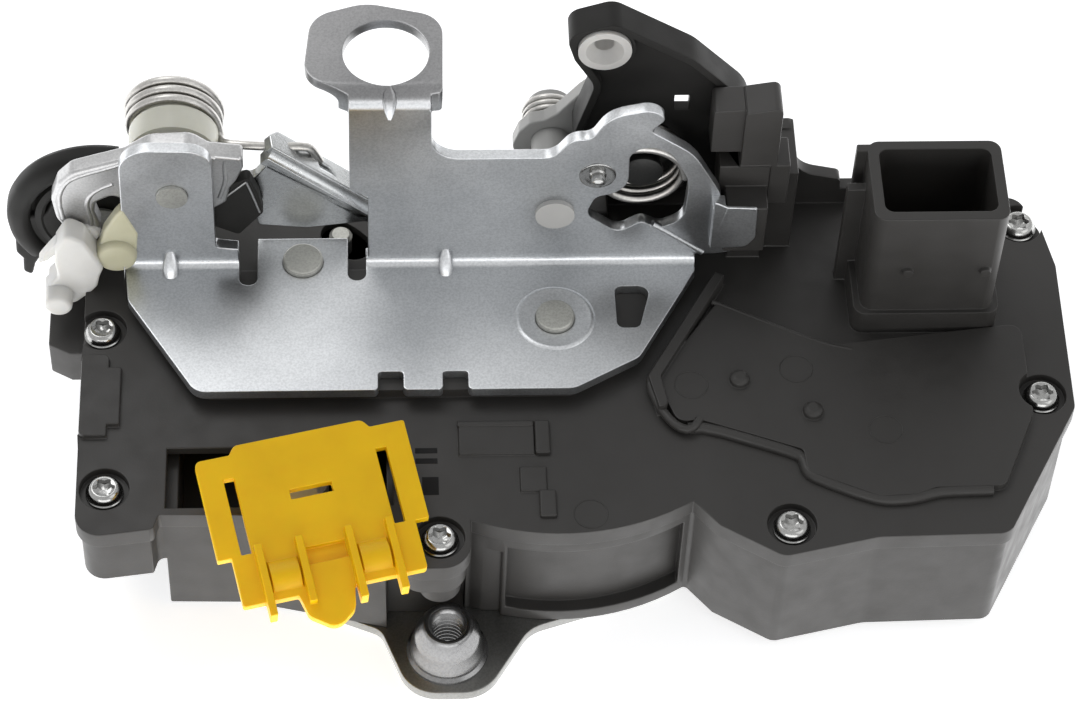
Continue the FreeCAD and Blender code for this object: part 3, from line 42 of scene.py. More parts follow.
# Places that the part and this script share
COVER_TOP = 28.0
FLANGE_TOP = 32.0
SEAM = 24.6
WEB_FRONT = 11.8
WEB_BACK = 13.8
TAB_TOP = 73.0
SCREWS = [(78.4, 21.9), (78.1, -13.4), (35.8, -38.0), (-19.3, -39.6), (-71.6, -29.7), (-73.0, 1.6)]
SCREW_SEAT = 26.6
NUTS = [(-18.0, -44.0), (-58.0, 29.0), (20.0, 29.0)]
PAWL_PIVOT = (-40.6, 12.0)
RELEASE_PIVOT = (-61.0, 49.4)
LINK_PIVOT = (0.0, 44.5)
OUTSIDE_PIVOT = (14.0, 49.5)
KEY_AXIS = (-73.5, 33.0)
SPRING_PIP = (6.5, 53.7)
TAB_MIDDLE = -26.4

# Front and back faces of the levers behind the web
CASTING_FACES = (14.2, 17.4)
RELEASE_FACES = (17.8, 19.8)
LINK_FACES = (26.9, 29.4)

# Wire of the levers' springs and of the link lever's
TORSION_WIRE = 1.5
LINK_WIRE = 1.0
RELEASE_COIL_FRONT = 25.0

# Fold of the release lever: its right end, and its directions along the fold and out of it
FOLD_END = (-29.2, 36.1)
FOLD_ALONG = Vector((-0.749, 0, 0.6625))
FOLD_UP = Vector((0.6625, 0, 0.749))

# How finely curves are drawn, and how near two points are one
ARC_STEPS = 5
COIL_STEPS = 20
SAME_POINT = 0.002


def millimetres(*values):
    return Vector([value * MM for value in values])


# Camera, at the photograph's own viewing angle
LENS_PIXELS = 3600.0
PHOTO_WIDTH = 1080.0
PHOTO_HEIGHT = 703.0
ELEVATION = math.radians(53.0)
ROLL = math.radians(2.9)
YAW = math.radians(4.4)
SCALE = 6.2
AIM_PIXEL = (555.0, 318.0)
AIM_POINT = millimetres(0, 0, 32)


def add_camera():
    across = Vector((math.cos(YAW), -math.sin(YAW), 0))
    ahead = Vector((math.sin(YAW), math.cos(YAW), 0))
    up = Vector((0, 0, 1))
    view = ahead * math.cos(ELEVATION) - up * math.sin(ELEVATION)
    rise = ahead * math.sin(ELEVATION) + up * math.cos(ELEVATION)
    right = across * math.cos(ROLL) + rise * math.sin(ROLL)
    top = rise * math.cos(ROLL) - across * math.sin(ROLL)
    offset_x = (AIM_PIXEL[0] - PHOTO_WIDTH / 2) / LENS_PIXELS
    offset_y = (AIM_PIXEL[1] - PHOTO_HEIGHT / 2) / LENS_PIXELS
    distance = LENS_PIXELS / SCALE * MM
    place = AIM_POINT - (right * offset_x - top * offset_y + view) * distance
    bpy.ops.object.camera_add(location=place)
    camera = bpy.context.object
    camera.name = "photo_camera"
    turn = Matrix((right, top, -view)).transposed()
    camera.matrix_world = Matrix.Translation(place) @ turn.to_4x4()
    camera.data.lens = 36.0 * LENS_PIXELS / PHOTO_WIDTH
    camera.data.sensor_width = 36.0
    camera.data.sensor_fit = "HORIZONTAL"
    camera.data.clip_start = 0.01
    bpy.context.scene.camera = camera


# Studio: the floor's light on the object and to the camera, and the light from all round
FLOOR_GLOW = 1.7
FLOOR_WHITE = 0.62
ROOM_LIGHT = 0.42


def add_softbox(name, place, aim, width, height, power):
    bpy.ops.object.light_add(type="AREA", location=millimetres(*place))
    lamp = bpy.context.object
    lamp.name = name
    lamp.data.shape = "RECTANGLE"
    lamp.data.size = width * MM
    lamp.data.size_y = height * MM
    lamp.data.energy = power
    direction = millimetres(*aim) - lamp.location
    lamp.rotation_euler = direction.to_track_quat("-Z", "Y").to_euler()


def white_for_rays(tree, shaded, white):
    """Mixes to plain white where the camera, a reflection or a clear piece looks at the surface."""
    path = tree.nodes.new("ShaderNodeLightPath")
    seen = path.outputs["Is Camera Ray"]
    for ray in ("Is Glossy Ray", "Is Transmission Ray"):
        either = tree.nodes.new("ShaderNodeMath")
        either.operation = "MAXIMUM"
        tree.links.new(seen, either.inputs[0])
        tree.links.new(path.outputs[ray], either.inputs[1])
        seen = either.outputs[0]
    mix = tree.nodes.new("ShaderNodeMixShader")
    tree.links.new(seen, mix.inputs[0])
    tree.links.new(shaded, mix.inputs[1])
    tree.links.new(white, mix.inputs[2])
    return mix.outputs[0]


def add_studio():
    world = bpy.data.worlds.new("studio_world")
    bpy.context.scene.world = world
    world.use_nodes = True
    tree = world.node_tree
    tree.nodes.clear()
    dim = tree.nodes.new("ShaderNodeBackground")
    dim.inputs["Color"].default_value = (0.86, 0.88, 0.92, 1)
    dim.inputs["Strength"].default_value = ROOM_LIGHT
    white = tree.nodes.new("ShaderNodeBackground")
    white.inputs["Color"].default_value = (1, 1, 1, 1)
    white.inputs["Strength"].default_value = 1.0
    out = tree.nodes.new("ShaderNodeOutputWorld")
    tree.links.new(white_for_rays(tree, dim.outputs[0], white.outputs[0]), out.inputs["Surface"])

    bpy.ops.mesh.primitive_plane_add(size=4.0, location=(0, 0, -0.0006))
    floor = bpy.context.object
    floor.name = "studio_floor"
    floor.data.materials.append(floor_paper())

    add_softbox("key_softbox", (-230, 230, 520), (-30, 0, 30), 300, 240, 0.75)
    add_softbox("fill_softbox", (420, -260, 420), (0, 0, 30), 380, 380, 0.5)
    add_softbox("back_softbox", (60, 520, 220), (0, 10, 40), 620, 160, 0.5)
    add_softbox("front_strip", (-40, -520, 160), (0, -20, 20), 700, 160, 0.9)


def floor_paper():
    """White light table: it glows on the walls over it, and the object's shadow stays on it."""
    material = bpy.data.materials.new("floor_paper")
    material.use_nodes = True
    tree = material.node_tree
    shader = tree.nodes["Principled BSDF"]
    shader.inputs["Base Color"].default_value = (0.93, 0.93, 0.93, 1)
    shader.inputs["Roughness"].default_value = 0.9
    path = tree.nodes.new("ShaderNodeLightPath")
    glow = tree.nodes.new("ShaderNodeMix")
    glow.inputs["A"].default_value = FLOOR_GLOW
    glow.inputs["B"].default_value = FLOOR_WHITE
    tree.links.new(path.outputs["Is Camera Ray"], glow.inputs["Factor"])
    white = tree.nodes.new("ShaderNodeEmission")
    tree.links.new(glow.outputs[0], white.inputs["Strength"])
    add = tree.nodes.new("ShaderNodeAddShader")
    tree.links.new(shader.outputs[0], add.inputs[0])
    tree.links.new(white.outputs[0], add.inputs[1])
    tree.links.new(add.outputs[0], tree.nodes["Material Output"].inputs["Surface"])
    return material


# Finishes
def finish_base(name):
    material = bpy.data.materials.new(name)
    material.use_nodes = True
    tree = material.node_tree
    place = tree.nodes.new("ShaderNodeTexCoord")
    return material, tree, tree.nodes["Principled BSDF"], place.outputs["Object"]


def noise(tree, place, scale, detail=4.0, stretch=None, rough=0.5):
    if stretch:
        mapping = tree.nodes.new("ShaderNodeMapping")
        mapping.inputs["Scale"].default_value = stretch
        tree.links.new(place, mapping.inputs["Vector"])
        place = mapping.outputs["Vector"]
    node = tree.nodes.new("ShaderNodeTexNoise")
    node.inputs["Scale"].default_value = scale
    node.inputs["Detail"].default_value = detail
    node.inputs["Roughness"].default_value = rough
    tree.links.new(place, node.inputs["Vector"])
    return node.outputs["Fac"]


def ramp(tree, value, stops):
    node = tree.nodes.new("ShaderNodeValToRGB")
    while len(node.color_ramp.elements) < len(stops):
        node.color_ramp.elements.new(0.5)
    for element, (position, colour) in zip(node.color_ramp.elements, stops):
        element.position = position
        element.color = (*colour, 1)
    tree.links.new(value, node.inputs["Fac"])
    return node.outputs["Color"]


def spread(tree, value, low, high, out_low, out_high):
    node = tree.nodes.new("ShaderNodeMapRange")
    for socket, number in zip(("From Min", "From Max", "To Min", "To Max"), (low, high, out_low, out_high)):
        node.inputs[socket].default_value = number
    tree.links.new(value, node.inputs["Value"])
    return node.outputs["Result"]


def bumps(tree, shader, heights):
    """Chains of (height, distance in mm, strength) into the shader's normal."""
    last = None
    for height, distance, strength in heights:
        node = tree.nodes.new("ShaderNodeBump")
        node.inputs["Strength"].default_value = strength
        node.inputs["Distance"].default_value = distance * MM
        tree.links.new(height, node.inputs["Height"])
        if last:
            tree.links.new(last, node.inputs["Normal"])
        last = node.outputs["Normal"]
    tree.links.new(last, shader.inputs["Normal"])


def moulded_plastic(name, dark, light, roughness, shine=0.32):
    """Glass-filled moulding: fine spark-erosion grain, faint flow marks and rubbed patches."""
    material, tree, shader, place = finish_base(name)
    flow = noise(tree, place, 38.0, 5.0, (1.0, 0.35, 1.0))
    tree.links.new(ramp(tree, flow, [(0.32, dark), (0.68, light)]), shader.inputs["Base Color"])
    fine = noise(tree, place, 2600.0, 2.0)
    coarse = noise(tree, place, 240.0, 4.0)
    rough = spread(tree, coarse, 0.3, 0.7, roughness - 0.06, roughness + 0.08)
    tree.links.new(rough, shader.inputs["Roughness"])
    shader.inputs["Specular IOR Level"].default_value = shine
    bumps(tree, shader, [(coarse, 0.03, 0.35), (fine, 0.02, 0.6)])
    return material


def plated_sheet(name, base, tint, roughness, streak=(1.0, 1.0, 1.0), scratch=0.3, shade_above=None):
    """Zinc-plated steel: cloudy plating, fine rolling streaks and handling marks, and painted shade that
    darkens the colour above a height.
    """
    material, tree, shader, place = finish_base(name)
    cloud = noise(tree, place, 55.0, 6.0)
    speckle = noise(tree, place, 2600.0, 2.0, rough=0.7)
    mottled = tree.nodes.new("ShaderNodeMix")
    mottled.data_type = "RGBA"
    mottled.blend_type = "MULTIPLY"
    mottled.inputs[0].default_value = 0.55
    tree.links.new(ramp(tree, cloud, [(0.3, base), (0.7, tint)]), mottled.inputs[6])
    dots = ramp(tree, speckle, [(0.34, (0.66, 0.66, 0.67)), (0.62, (1.0, 1.0, 1.0))])
    tree.links.new(dots, mottled.inputs[7])
    colour = mottled.outputs[2]
    # Painted shade: above the given height the colour is multiplied darker, standing in for less light
    # falling on the bracket's tab.
    if shade_above:
        height = tree.nodes.new("ShaderNodeSeparateXYZ")
        tree.links.new(place, height.inputs[0])
        share = spread(tree, height.outputs["Z"], shade_above * MM, (shade_above + 2.5) * MM, 0.0, 1.0)
        painted_shade = tree.nodes.new("ShaderNodeMix")
        painted_shade.data_type = "RGBA"
        painted_shade.blend_type = "MULTIPLY"
        # Darkening colour of the painted shade.
        painted_shade.inputs[7].default_value = (0.46, 0.45, 0.445, 1)
        tree.links.new(share, painted_shade.inputs[0])
        tree.links.new(colour, painted_shade.inputs[6])
        colour = painted_shade.outputs[2]
    tree.links.new(colour, shader.inputs["Base Color"])
    lines = noise(tree, place, 900.0, 3.0, streak)
    marks = noise(tree, place, 420.0, 8.0, (1.0, 0.16, 0.4))
    rough = spread(tree, cloud, 0.3, 0.7, roughness - 0.05, roughness + 0.09)
    tree.links.new(rough, shader.inputs["Roughness"])
    shader.inputs["Metallic"].default_value = 1.0
    bumps(tree, shader, [(lines, 0.012, scratch), (marks, 0.02, scratch * 0.5), (speckle, 0.008, 0.5)])
    return material


def clear_plastic(name, base, tint, roughness, through, weight=0.25):
    """Unfilled nylon or acetal: light goes a little way in and comes out softened."""
    material, tree, shader, place = finish_base(name)
    cloud = noise(tree, place, 120.0, 4.0)
    tree.links.new(ramp(tree, cloud, [(0.3, base), (0.7, tint)]), shader.inputs["Base Color"])
    shader.inputs["Roughness"].default_value = roughness
    shader.inputs["Specular IOR Level"].default_value = 0.3
    shader.inputs["Subsurface Weight"].default_value = weight
    shader.inputs["Subsurface Radius"].default_value = through
    shader.inputs["Subsurface Scale"].default_value = 0.0015
    bumps(tree, shader, [(noise(tree, place, 700.0, 3.0), 0.015, 0.3)])
    return material


housing_black = moulded_plastic("housing_black", (0.028, 0.0265, 0.0245), (0.038, 0.036, 0.034), 0.46)
inner_black = moulded_plastic("inner_black", (0.020, 0.020, 0.019), (0.028, 0.028, 0.027), 0.5)
# shadow_black is painted shadow, used for the dark insides of slots.
shadow_black = moulded_plastic("shadow_black", (0.004, 0.004, 0.004), (0.008, 0.008, 0.008), 0.9)
lever_black = moulded_plastic("lever_black", (0.013, 0.013, 0.012), (0.021, 0.020, 0.019), 0.52, 0.14)
rubber_black = moulded_plastic("rubber_black", (0.010, 0.010, 0.010), (0.016, 0.016, 0.016), 0.75)
# The bracket's colour is darkened above 69.5 mm as painted shade on its tab.
bracket_zinc = plated_sheet("bracket_zinc", (0.48, 0.493, 0.505), (0.60, 0.613, 0.625), 0.33, (0.2, 1.0, 1.0),
                            shade_above=69.5)
plate_zinc = plated_sheet("plate_zinc", (0.22, 0.22, 0.21), (0.32, 0.32, 0.31), 0.38)
screw_zinc = plated_sheet("screw_zinc", (0.30, 0.30, 0.295), (0.42, 0.42, 0.41), 0.2)
nut_zinc = plated_sheet("nut_zinc", (0.20, 0.20, 0.20), (0.30, 0.30, 0.30), 0.28)
rivet_grey = plated_sheet("rivet_grey", (0.34, 0.34, 0.315), (0.45, 0.45, 0.42), 0.46, scratch=0.8)
zinc_casting = plated_sheet("zinc_casting", (0.36, 0.36, 0.36), (0.48, 0.48, 0.48), 0.34, scratch=0.8)
greased_plate = plated_sheet("greased_plate", (0.42, 0.43, 0.43), (0.62, 0.635, 0.64), 0.27, scratch=0.9)
spring_wire = plated_sheet("spring_wire", (0.34, 0.33, 0.31), (0.52, 0.51, 0.49), 0.3)
pin_dark = plated_sheet("pin_dark", (0.030, 0.030, 0.029), (0.05, 0.05, 0.049), 0.5)
latch_steel = plated_sheet("latch_steel", (0.30, 0.30, 0.31), (0.40, 0.40, 0.41), 0.36)
brass = plated_sheet("brass", (0.60, 0.46, 0.22), (0.72, 0.56, 0.30), 0.3)
white_acetal = clear_plastic("white_acetal", (0.58, 0.57, 0.545), (0.68, 0.67, 0.64), 0.36, (1.0, 0.9, 0.7))
ivory_acetal = clear_plastic("ivory_acetal", (0.46, 0.44, 0.30), (0.56, 0.54, 0.40), 0.38, (1.0, 0.85, 0.5))
bush_acetal = clear_plastic("bush_acetal", (0.60, 0.59, 0.50), (0.70, 0.69, 0.60), 0.38, (1.0, 0.85, 0.6))
natural_nylon = clear_plastic("natural_nylon", (0.38, 0.37, 0.36), (0.48, 0.47, 0.45), 0.3,
                              (1.0, 0.9, 0.8), 0.4)
link_grey = moulded_plastic("link_grey", (0.38, 0.375, 0.36), (0.48, 0.475, 0.46), 0.42)
clip_yellow = clear_plastic("clip_yellow", (0.80, 0.47, 0.0), (0.88, 0.54, 0.001), 0.46,
                            (1.0, 0.45, 0.03), 0.3)

FINISHES = {
    "face_plate": plate_zinc, "mounting_nuts": nut_zinc, "latch_case": housing_black,
    "actuator_cover": housing_black, "cover_seal": rubber_black, "cover_screws": screw_zinc,
    "fork_pivot": rivet_grey, "pawl_pivot": rivet_grey, "back_bracket": bracket_zinc,
    "spring_anchor_pin": screw_zinc, "release_pivot": rivet_grey, "link_pivot": link_grey,
    "outside_pin": pin_dark, "fork_bolt": latch_steel, "fork_cushion": inner_black,
    "fork_spring": spring_wire, "fork_stop": rubber_black, "pawl": latch_steel,
    "pawl_lift_pin": rivet_grey, "pawl_spring": spring_wire, "lock_motor": screw_zinc,
    "motor_end_cap": white_acetal, "lock_worm": brass, "lock_gear": white_acetal,
    "gear_axle": rivet_grey, "lock_slider": inner_black, "lock_lever": white_acetal,
    "contact_carrier": inner_black, "connector_terminals": brass, "micro_switches": inner_black,
    "inside_lever": zinc_casting, "release_lever": greased_plate, "lever_bush": bush_acetal,
    "release_spring": spring_wire, "rod_clip": white_acetal, "clip_bush": ivory_acetal,
    "key_lever": lever_black, "key_lever_pin": rivet_grey, "outside_lever": lever_black,
    "rod_bush": natural_nylon, "outside_spring": spring_wire, "link_lever": link_grey,
    "link_spring": spring_wire, "transport_clip": clip_yellow,
}


def dress_nodes():
    for name, material in FINISHES.items():
        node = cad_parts[name]
        node.data.materials.clear()
        node.data.materials.append(material)


# Modelling helpers
def deselect():
    if bpy.context.object and bpy.context.object.mode == "EDIT":
        bpy.ops.object.mode_set(mode="OBJECT")
    bpy.ops.object.select_all(action="DESELECT")


def hold(piece):
    deselect()
    piece.select_set(True)
    bpy.context.view_layer.objects.active = piece


def open_mesh(piece, what="FACE"):
    hold(piece)
    bpy.ops.object.mode_set(mode="EDIT")
    bpy.ops.mesh.select_mode(type=what)


def close_mesh():
    bpy.ops.object.mode_set(mode="OBJECT")


def pick_points(piece, test):
    mesh = bmesh.from_edit_mesh(piece.data)
    for point in mesh.verts:
        point.select_set(bool(test(point.co / MM)))
    mesh.select_flush_mode()
    bmesh.update_edit_mesh(piece.data)


def pick_faces(piece, test):
    mesh = bmesh.from_edit_mesh(piece.data)
    mesh.faces.ensure_lookup_table()
    for face in mesh.faces:
        face.select_set(False)
    for face in mesh.faces:
        if test(face.calc_center_median() / MM, face.normal):
            face.select_set(True)
    bmesh.update_edit_mesh(piece.data)


def settle(piece):
    """Puts the piece's place, turn and size into its mesh."""
    hold(piece)
    bpy.ops.object.transform_apply(location=True, rotation=True, scale=True)


def outwards(piece):
    open_mesh(piece)
    bpy.ops.mesh.select_all(action="SELECT")
    bpy.ops.mesh.remove_doubles(threshold=SAME_POINT * MM)
    bpy.ops.mesh.normals_make_consistent(inside=False)
    close_mesh()


def finished(piece, material, body, nodes=(), angle=32):
    """Gives the piece its finish and body, and hides the nodes that it stands for."""
    hold(piece)
    piece.data.materials.clear()
    piece.data.materials.append(material)
    bpy.ops.object.shade_smooth_by_angle(angle=math.radians(angle))
    level = piece.modifiers.new("flats", "WEIGHTED_NORMAL")
    level.keep_sharp = True
    level.weight = 100
    bpy.ops.object.modifier_apply(modifier="flats")
    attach(piece, body)
    if nodes:
        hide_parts(*nodes)
    return piece


def join(pieces, name):
    deselect()
    for piece in pieces:
        piece.select_set(True)
    bpy.context.view_layer.objects.active = pieces[0]
    if len(pieces) > 1:
        bpy.ops.object.join()
    joined = bpy.context.object
    joined.name = name
    return joined


def copies(piece, offsets, name):
    """The piece where it is, and a copy of it with its own mesh at each offset."""
    made = [piece]
    for offset in offsets:
        twin = piece.copy()
        twin.data = piece.data.copy()
        bpy.context.collection.objects.link(twin)
        twin.location = millimetres(*offset)
        settle(twin)
        made.append(twin)
    return join(made, name)


def softened(name, node, material, body, width=0.3, angle=34, flats=True):
    """The solid's own shape, its edges broken as a tool or a mould leaves them."""
    piece = bpy.data.objects.new(name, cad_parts[node].data.copy())
    bpy.context.collection.objects.link(piece)
    open_mesh(piece)
    bpy.ops.mesh.select_all(action="SELECT")
    bpy.ops.mesh.remove_doubles(threshold=0.004 * MM)
    if flats:
        bpy.ops.mesh.dissolve_limited(angle_limit=math.radians(0.4))
    else:
        bpy.ops.mesh.tris_convert_to_quads(
            face_threshold=math.radians(1), shape_threshold=math.radians(170))
    close_mesh()
    soften = piece.modifiers.new("edges", "BEVEL")
    soften.width = width * MM
    soften.segments = 2
    soften.limit_method = "ANGLE"
    soften.angle_limit = math.radians(angle)
    soften.use_clamp_overlap = False
    soften.loop_slide = False
    bpy.ops.object.modifier_apply(modifier="edges")
    return finished(piece, material, body, [node])


def turned_piece(name, profile, sides=48, ring=False):
    """Turned round Z from the bottom face: up the outside, and down the bore where there is one."""
    deselect()
    radius, height = profile[0]
    bpy.ops.mesh.primitive_circle_add(
        vertices=sides, radius=radius * MM, fill_type="NGON", location=(0, 0, height * MM))
    piece = bpy.context.object
    piece.name = name
    settle(piece)
    open_mesh(piece)
    bpy.ops.mesh.select_all(action="SELECT")
    for next_radius, next_height in profile[1:]:
        rise = (next_height - height) * MM
        bpy.ops.mesh.extrude_region_move(TRANSFORM_OT_translate={"value": (0, 0, rise)})
        ratio = next_radius / radius
        bpy.ops.transform.resize(value=(ratio, ratio, 1), center_override=(0, 0, next_height * MM))
        radius, height = next_radius, next_height
    if ring:
        bpy.ops.mesh.delete(type="ONLY_FACE")
        pick_faces(piece, lambda centre, normal: abs(centre.z - profile[0][1]) < 0.001
                   and centre.xy.length < 0.01)
        bpy.ops.mesh.delete(type="ONLY_FACE")
        bpy.ops.mesh.select_mode(type="EDGE")
        bpy.ops.mesh.select_all(action="DESELECT")
        bpy.ops.mesh.select_non_manifold()
        bpy.ops.mesh.bridge_edge_loops()
    bpy.ops.mesh.select_all(action="SELECT")
    bpy.ops.mesh.normals_make_consistent(inside=False)
    close_mesh()
    return piece


def stand(piece, place, along=(0, 0, 1)):
    """Turns the piece's Z to a direction and sets its origin at a place, both put into the mesh."""
    piece.rotation_mode = "QUATERNION"
    piece.rotation_quaternion = Vector(along).to_track_quat("Z", "Y")
    piece.location = millimetres(*place)
    settle(piece)
    piece.rotation_mode = "XYZ"
    return piece


def placed(piece, across, along, upwards, place):
    """Puts the piece's own three directions and its origin where they belong."""
    turn = Matrix((Vector(across), Vector(along), Vector(upwards))).transposed()
    piece.matrix_world = Matrix.Translation(millimetres(*place)) @ turn.to_4x4()
    settle(piece)
    outwards(piece)
    return piece


def bar_piece(name, low, high, soft=0.2, steps=2):
    """A moulded or cut bar between two corners, its edges broken."""
    deselect()
    middle = [(a + b) / 2 * MM for a, b in zip(low, high)]
    bpy.ops.mesh.primitive_cube_add(size=1, location=middle)
    piece = bpy.context.object
    piece.name = name
    piece.scale = [(b - a) * MM for a, b in zip(low, high)]
    settle(piece)
    open_mesh(piece, "EDGE")
    bpy.ops.mesh.select_all(action="SELECT")
    bpy.ops.mesh.bevel(offset=soft * MM, segments=steps, affect="EDGES")
    close_mesh()
    return piece


def wire_piece(name, points, wire):
    """Round wire on a smooth line through the points."""
    deselect()
    bpy.ops.curve.primitive_nurbs_path_add(location=(0, 0, 0))
    curve = bpy.context.object
    curve.name = name
    curve.data.splines.clear()
    line = curve.data.splines.new("NURBS")
    line.points.add(len(points) - 1)
    for point, place in zip(line.points, points):
        point.co = (*millimetres(*place), 1)
    line.order_u = 3
    line.use_endpoint_u = True
    line.resolution_u = 2
    curve.data.bevel_depth = wire / 2 * MM
    curve.data.bevel_resolution = 3
    curve.data.use_fill_caps = True
    bpy.ops.object.convert(target="MESH")
    piece = bpy.context.object
    outwards(piece)
    return piece


def rounded(outline):
    """Outline of (x, z) or (x, z, corner radius) points, each corner turned into an arc."""
    line = []
    for index, point in enumerate(outline):
        here = Vector(point[:2])
        radius = point[2] if len(point) > 2 else 0
        if not radius:
            line.append(here)
            continue
        back = Vector(outline[index - 1][:2]) - here
        ahead = Vector(outline[(index + 1) % len(outline)][:2]) - here
        half = back.angle(ahead) / 2
        reach = min(radius / math.tan(half), back.length * 0.49, ahead.length * 0.49)
        start = here + back.normalized() * reach
        end = here + ahead.normalized() * reach
        for step in range(ARC_STEPS + 1):
            share = step / ARC_STEPS
            line.append(start * (1 - share) ** 2 + here * 2 * share * (1 - share) + end * share ** 2)
    return line


def plate_piece(name, outlines, front, back, soft=0.2, steps=2, upright=True):
    """A plate with its holes between two faces, its edges rounded. Upright ones face the front."""
    deselect()
    bpy.ops.curve.primitive_bezier_circle_add(location=(0, 0, 0))
    curve = bpy.context.object
    curve.name = name
    sheet = curve.data
    sheet.splines.clear()
    sheet.dimensions = "2D"
    sheet.fill_mode = "BOTH"
    for outline in outlines:
        line = sheet.splines.new("POLY")
        places = rounded(outline)
        line.points.add(len(places) - 1)
        for point, place in zip(line.points, places):
            point.co = (place.x * MM, place.y * MM, 0, 1)
        line.use_cyclic_u = True
    sheet.extrude = (abs(back - front) / 2 - soft) * MM
    sheet.bevel_depth = soft * MM
    sheet.bevel_resolution = steps
    sheet.offset = -soft * MM
    if upright:
        curve.rotation_euler.x = math.pi / 2
        curve.location.y = (front + back) / 2 * MM
    else:
        curve.location.z = (front + back) / 2 * MM
    bpy.ops.object.convert(target="MESH")
    piece = bpy.context.object
    settle(piece)
    outwards(piece)
    return piece


def drawn_loop(name, points):
    """A closed line in the XZ plane, drawn point by point."""
    deselect()
    bpy.ops.mesh.primitive_circle_add(
        vertices=len(points), radius=0.05, fill_type="NOTHING", location=(0, 0, 0))
    piece = bpy.context.object
    piece.name = name
    open_mesh(piece, "VERT")
    for index, (x, z) in enumerate(points):
        mesh = bmesh.from_edit_mesh(piece.data)
        mesh.verts.ensure_lookup_table()
        for vertex in mesh.verts:
            vertex.select_set(vertex.index == index)
        mesh.select_flush_mode()
        start = mesh.verts[index].co.copy()
        bpy.ops.transform.translate(value=Vector((x * MM, 0, z * MM)) - start)
    close_mesh()
    return piece


def at_angle(point, angle):
    """Says whether a point stands at an angle round the Z axis."""
    gap = math.atan2(point.y, point.x) - angle
    return abs((gap + math.pi) % (2 * math.pi) - math.pi) < 0.001


def swept_sector(name, profile, place, start, sweep, steps):
    """A profile of (radius, depth) points turned part of the way round an axis along Y, its ends closed."""
    piece = drawn_loop(name, profile)
    open_mesh(piece, "VERT")
    bpy.ops.mesh.select_all(action="SELECT")
    bpy.ops.mesh.spin(steps=steps, angle=math.radians(sweep), center=(0, 0, 0), axis=(0, 0, 1))
    bpy.ops.mesh.select_all(action="SELECT")
    bpy.ops.mesh.remove_doubles(threshold=0.001 * MM)
    for end in (0, math.radians(sweep)):
        pick_points(piece, lambda point: at_angle(point, end))
        bpy.ops.mesh.edge_face_add()
    close_mesh()
    piece.rotation_euler = (-math.pi / 2, 0, 0)
    settle(piece)
    piece.rotation_euler = (0, -math.radians(start), 0)
    piece.location = millimetres(*place)
    settle(piece)
    outwards(piece)
    return piece


def coil_points(place, radius, turns, pitch, taper=0.0):
    """Points of a spring's turns about an axis along Y, backwards from its place."""
    points = []
    for index in range(int(turns * COIL_STEPS) + 1):
        turn = index / COIL_STEPS
        angle = turn * 2 * math.pi
        reach = radius + taper * turn
        across = reach * math.cos(angle)
        rise = reach * math.sin(angle)
        points.append((place[0] + across, place[1] + pitch * turn, place[2] + rise))
    return points


# Steel and fasteners
def make_bracket():
    """The folded bracket, its pressed gussets and the ring round the fork's pivot."""
    softened("bracket_sheet", "back_bracket", bracket_zinc, "housing", 0.22, 40)
    ribs = []
    for x, width in ((-62.0, 1.3), (-17.4, 1.2)):
        ribs.append(bend_gusset(x, width))
    tab = turned_piece("tab_gusset", [(0.3, -2.6), (0.8, -1.4), (1.15, 0.2), (1.0, 1.6), (0.3, 2.8)], 24)
    tab.scale.y = 0.55
    settle(tab)
    ribs.append(stand(tab, (TAB_MIDDLE, WEB_FRONT + 0.35, TAB_TOP - 2.0), (0, 0.75, 1)))
    gussets = join(ribs, "bracket_gussets")
    finished(gussets, bracket_zinc, "housing", angle=60)

    ring = turned_piece("pivot_ring", [
        (6.5, FLANGE_TOP - 0.1), (6.5, FLANGE_TOP + 0.02), (6.2, FLANGE_TOP + 0.22),
        (5.7, FLANGE_TOP + 0.24), (5.2, FLANGE_TOP + 0.06), (3.3, FLANGE_TOP + 0.02),
        (3.3, FLANGE_TOP - 0.1),
    ], 72, ring=True)
    finished(ring, bracket_zinc, "housing")


def bend_gusset(x, width):
    """A pressed drop across the inner bend."""
    drop = turned_piece("bend_gusset", [
        (0.2, -3.1), (0.55, -2.8), (0.86, -2.0), (1.0, -0.6), (0.9, 0.8), (0.62, 2.0), (0.25, 2.9),
    ], 24)
    drop.scale = (width, 0.8, 1)
    settle(drop)
    return stand(drop, (x, WEB_FRONT - 1.25, FLANGE_TOP + 1.15), (0, 0.8, 1))


def rivet(place, along, radius, height):
    """A set rivet head, a little dished, on a face."""
    head = turned_piece("rivet_head", [
        (radius - 0.12, -0.1), (radius - 0.02, 0.04), (radius, height * 0.5),
        (radius - 0.07, height * 0.85), (radius - 0.3, height), (radius - 0.75, height - 0.03),
        (0.9, height - 0.05), (0.5, height - 0.12), (0.12, height - 0.14),
    ], 56)
    return stand(head, place, along)


